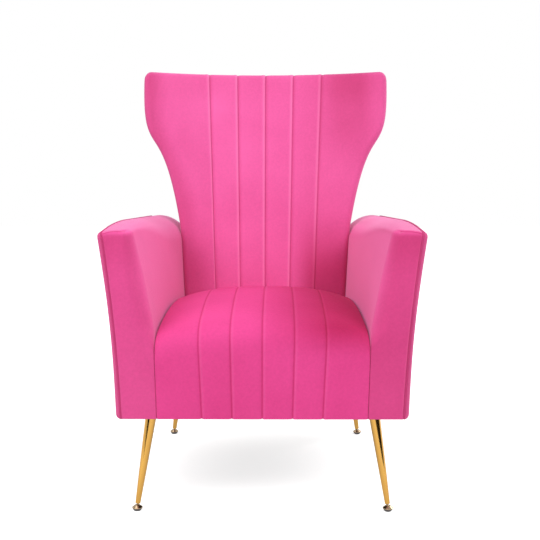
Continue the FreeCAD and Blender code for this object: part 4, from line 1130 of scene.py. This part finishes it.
def threaded_stud():
    material, tree, shader, place = new_finish("threaded_stud")
    thread = add_node(tree, "ShaderNodeTexWave", {"Vector": place, "Scale": THREAD_SCALE},
                      bands_direction="Z").outputs["Fac"]
    tree.links.new(two_tone(tree, thread, *STUD_TONES), shader.inputs["Base Color"])
    tree.links.new(ranged(tree, grained(tree, place, 1200), 0.12, 0.26), shader.inputs["Roughness"])
    shader.inputs["Metallic"].default_value = 1.0
    raised(tree, shader, thread, 0.0004, 0.7)
    return material


gold = gold_plate()
cap_metal = bright_cap()
sole_plastic = dark_sole()
stud_metal = threaded_stud()
for end in ("front", "rear"):
    for side in SIDES:
        cover_node(f"leg_{end}_{side}", gold)
        cover_node(f"glide_stud_{end}_{side}", stud_metal)
        cover_node(f"glide_cap_{end}_{side}", cap_metal)
        cover_node(f"glide_sole_{end}_{side}", sole_plastic)

# Studio: a plain pale floor, soft lamps on both sides, above and at the rear, and a white surround.
# Two dark cards give the polished legs something to reflect.
# The camera stands where the photograph was taken, in front of the chair and a little above the arms.

FLOOR_SIZE = 12
FLOOR_GREY = (0.86, 0.86, 0.86, 1)
FLOOR_GLOW = 0.62
SURROUND_LIGHT = 0.38
MIDDLE = (0, 0, 0.5)
CARD_DARK = (0.012, 0.009, 0.007, 1)
CARD_TOP = 0.7


def pale_floor():
    """Matt pale floor that glows for seen rays only: less under the chair, so that its shadow shows."""
    material, tree, shader, place = new_finish("pale_floor")
    tree.nodes.remove(shader)
    matt = add_node(tree, "ShaderNodeBsdfDiffuse", {"Color": FLOOR_GREY})
    reach = add_node(tree, "ShaderNodeVectorMath", {0: place}, operation="LENGTH").outputs["Value"]
    strength = ranged(tree, reach, FLOOR_GLOW, 1.0, 0.5, 1.5)
    glow = add_node(tree, "ShaderNodeEmission", {"Color": (1, 1, 1, 1), "Strength": strength})
    both_lit = add_node(tree, "ShaderNodeAddShader")
    tree.links.new(matt.outputs[0], both_lit.inputs[0])
    tree.links.new(glow.outputs[0], both_lit.inputs[1])
    choice = add_node(tree, "ShaderNodeMixShader", {"Fac": seen_rays(tree)})
    tree.links.new(matt.outputs[0], choice.inputs[1])
    tree.links.new(both_lit.outputs[0], choice.inputs[2])
    tree.links.new(choice.outputs[0], tree.nodes["Material Output"].inputs["Surface"])
    return material


def seen_rays(tree):
    """One for rays from the camera, or by way of a mirror or glass, and zero for light on the object."""
    path = add_node(tree, "ShaderNodeLightPath")
    seen = path.outputs["Is Camera Ray"]
    for kind in ("Is Glossy Ray", "Is Transmission Ray"):
        inputs = {0: seen, 1: path.outputs[kind]}
        seen = add_node(tree, "ShaderNodeMath", inputs, operation="MAXIMUM").outputs["Value"]
    return seen


bm = bmesh.new()
bmesh.ops.create_grid(bm, x_segments=2, y_segments=2, size=FLOOR_SIZE)
floor = made_piece(bm, "floor", pale_floor())

scene = bpy.context.scene
scene.view_settings.view_transform = "Standard"
world = bpy.data.worlds.new("studio")
world.use_nodes = True
scene.world = world
sky = world.node_tree
surround = sky.nodes["Background"]
surround.inputs["Color"].default_value = (1, 1, 1, 1)
strength = ranged(sky, seen_rays(sky), SURROUND_LIGHT, 1.0)
sky.links.new(strength, surround.inputs["Strength"])


def soft_lamp(name, place, aim, size, power):
    """A round area lamp that faces its aim."""
    light = bpy.data.lights.new(name, "AREA")
    light.shape = "DISK"
    light.size = size
    light.energy = power
    lamp = bpy.data.objects.new(name, light)
    lamp.location = place
    lamp.rotation_euler = (Vector(aim) - Vector(place)).to_track_quat("-Z", "Y").to_euler()
    scene.collection.objects.link(lamp)


soft_lamp("key_lamp", (1.6, -2.0, 2.4), MIDDLE, 1.5, 45)
soft_lamp("fill_lamp", (-1.9, -2.0, 2.0), MIDDLE, 2.0, 48)
soft_lamp("top_lamp", (-0.7, -0.2, 2.8), MIDDLE, 1.8, 18)
soft_lamp("rim_lamp", (2.1, 0.9, 1.5), (0.2, 0.2, 0.8), 1.2, 24)


def flag(name, place, width, brow, low, tip):
    """A dark card beside the set, seen only in polished metal. Below its brow it narrows to a tip, which is
    at a share of its width and at the height low."""
    material, _, shader, _ = new_finish(name)
    shader.inputs["Base Color"].default_value = CARD_DARK
    shader.inputs["Roughness"].default_value = 0.9
    sideways = Vector((-place[1] - 0.3, place[0], 0)).normalized()
    bm = bmesh.new()
    bmesh.ops.create_grid(bm, x_segments=1, y_segments=2, size=0.5)
    for vert in bm.verts:
        across = tip + 0.1 * vert.co.x if vert.co.y < -0.1 else vert.co.x
        height = mixed(brow, CARD_TOP, 2 * vert.co.y) if vert.co.y > -0.1 else low
        vert.co = Vector((*place, height)) + sideways * (width * across)
    card = made_piece(bm, name, material, smooth=False)
    card.visible_camera = False
    card.visible_diffuse = False
    card.visible_shadow = False
    card.visible_transmission = False


flag("flag_right", (0.94, -1.28), 2.5, 0.10, 0.0, 0.35)
flag("flag_left", (-0.84, -1.45), 1.1, 0.17, 0.03, 0.0)

camera = bpy.data.cameras.new("camera")
camera.lens = 56.57
camera.sensor_width = 36
camera_stand = bpy.data.objects.new("camera", camera)
camera_stand.location = (0.0282, -2.1068, 0.6982)
camera_stand.rotation_euler = (math.radians(87.63), 0, math.radians(0.387))
camera.shift_y = -0.0922
scene.collection.objects.link(camera_stand)
scene.camera = camera_stand
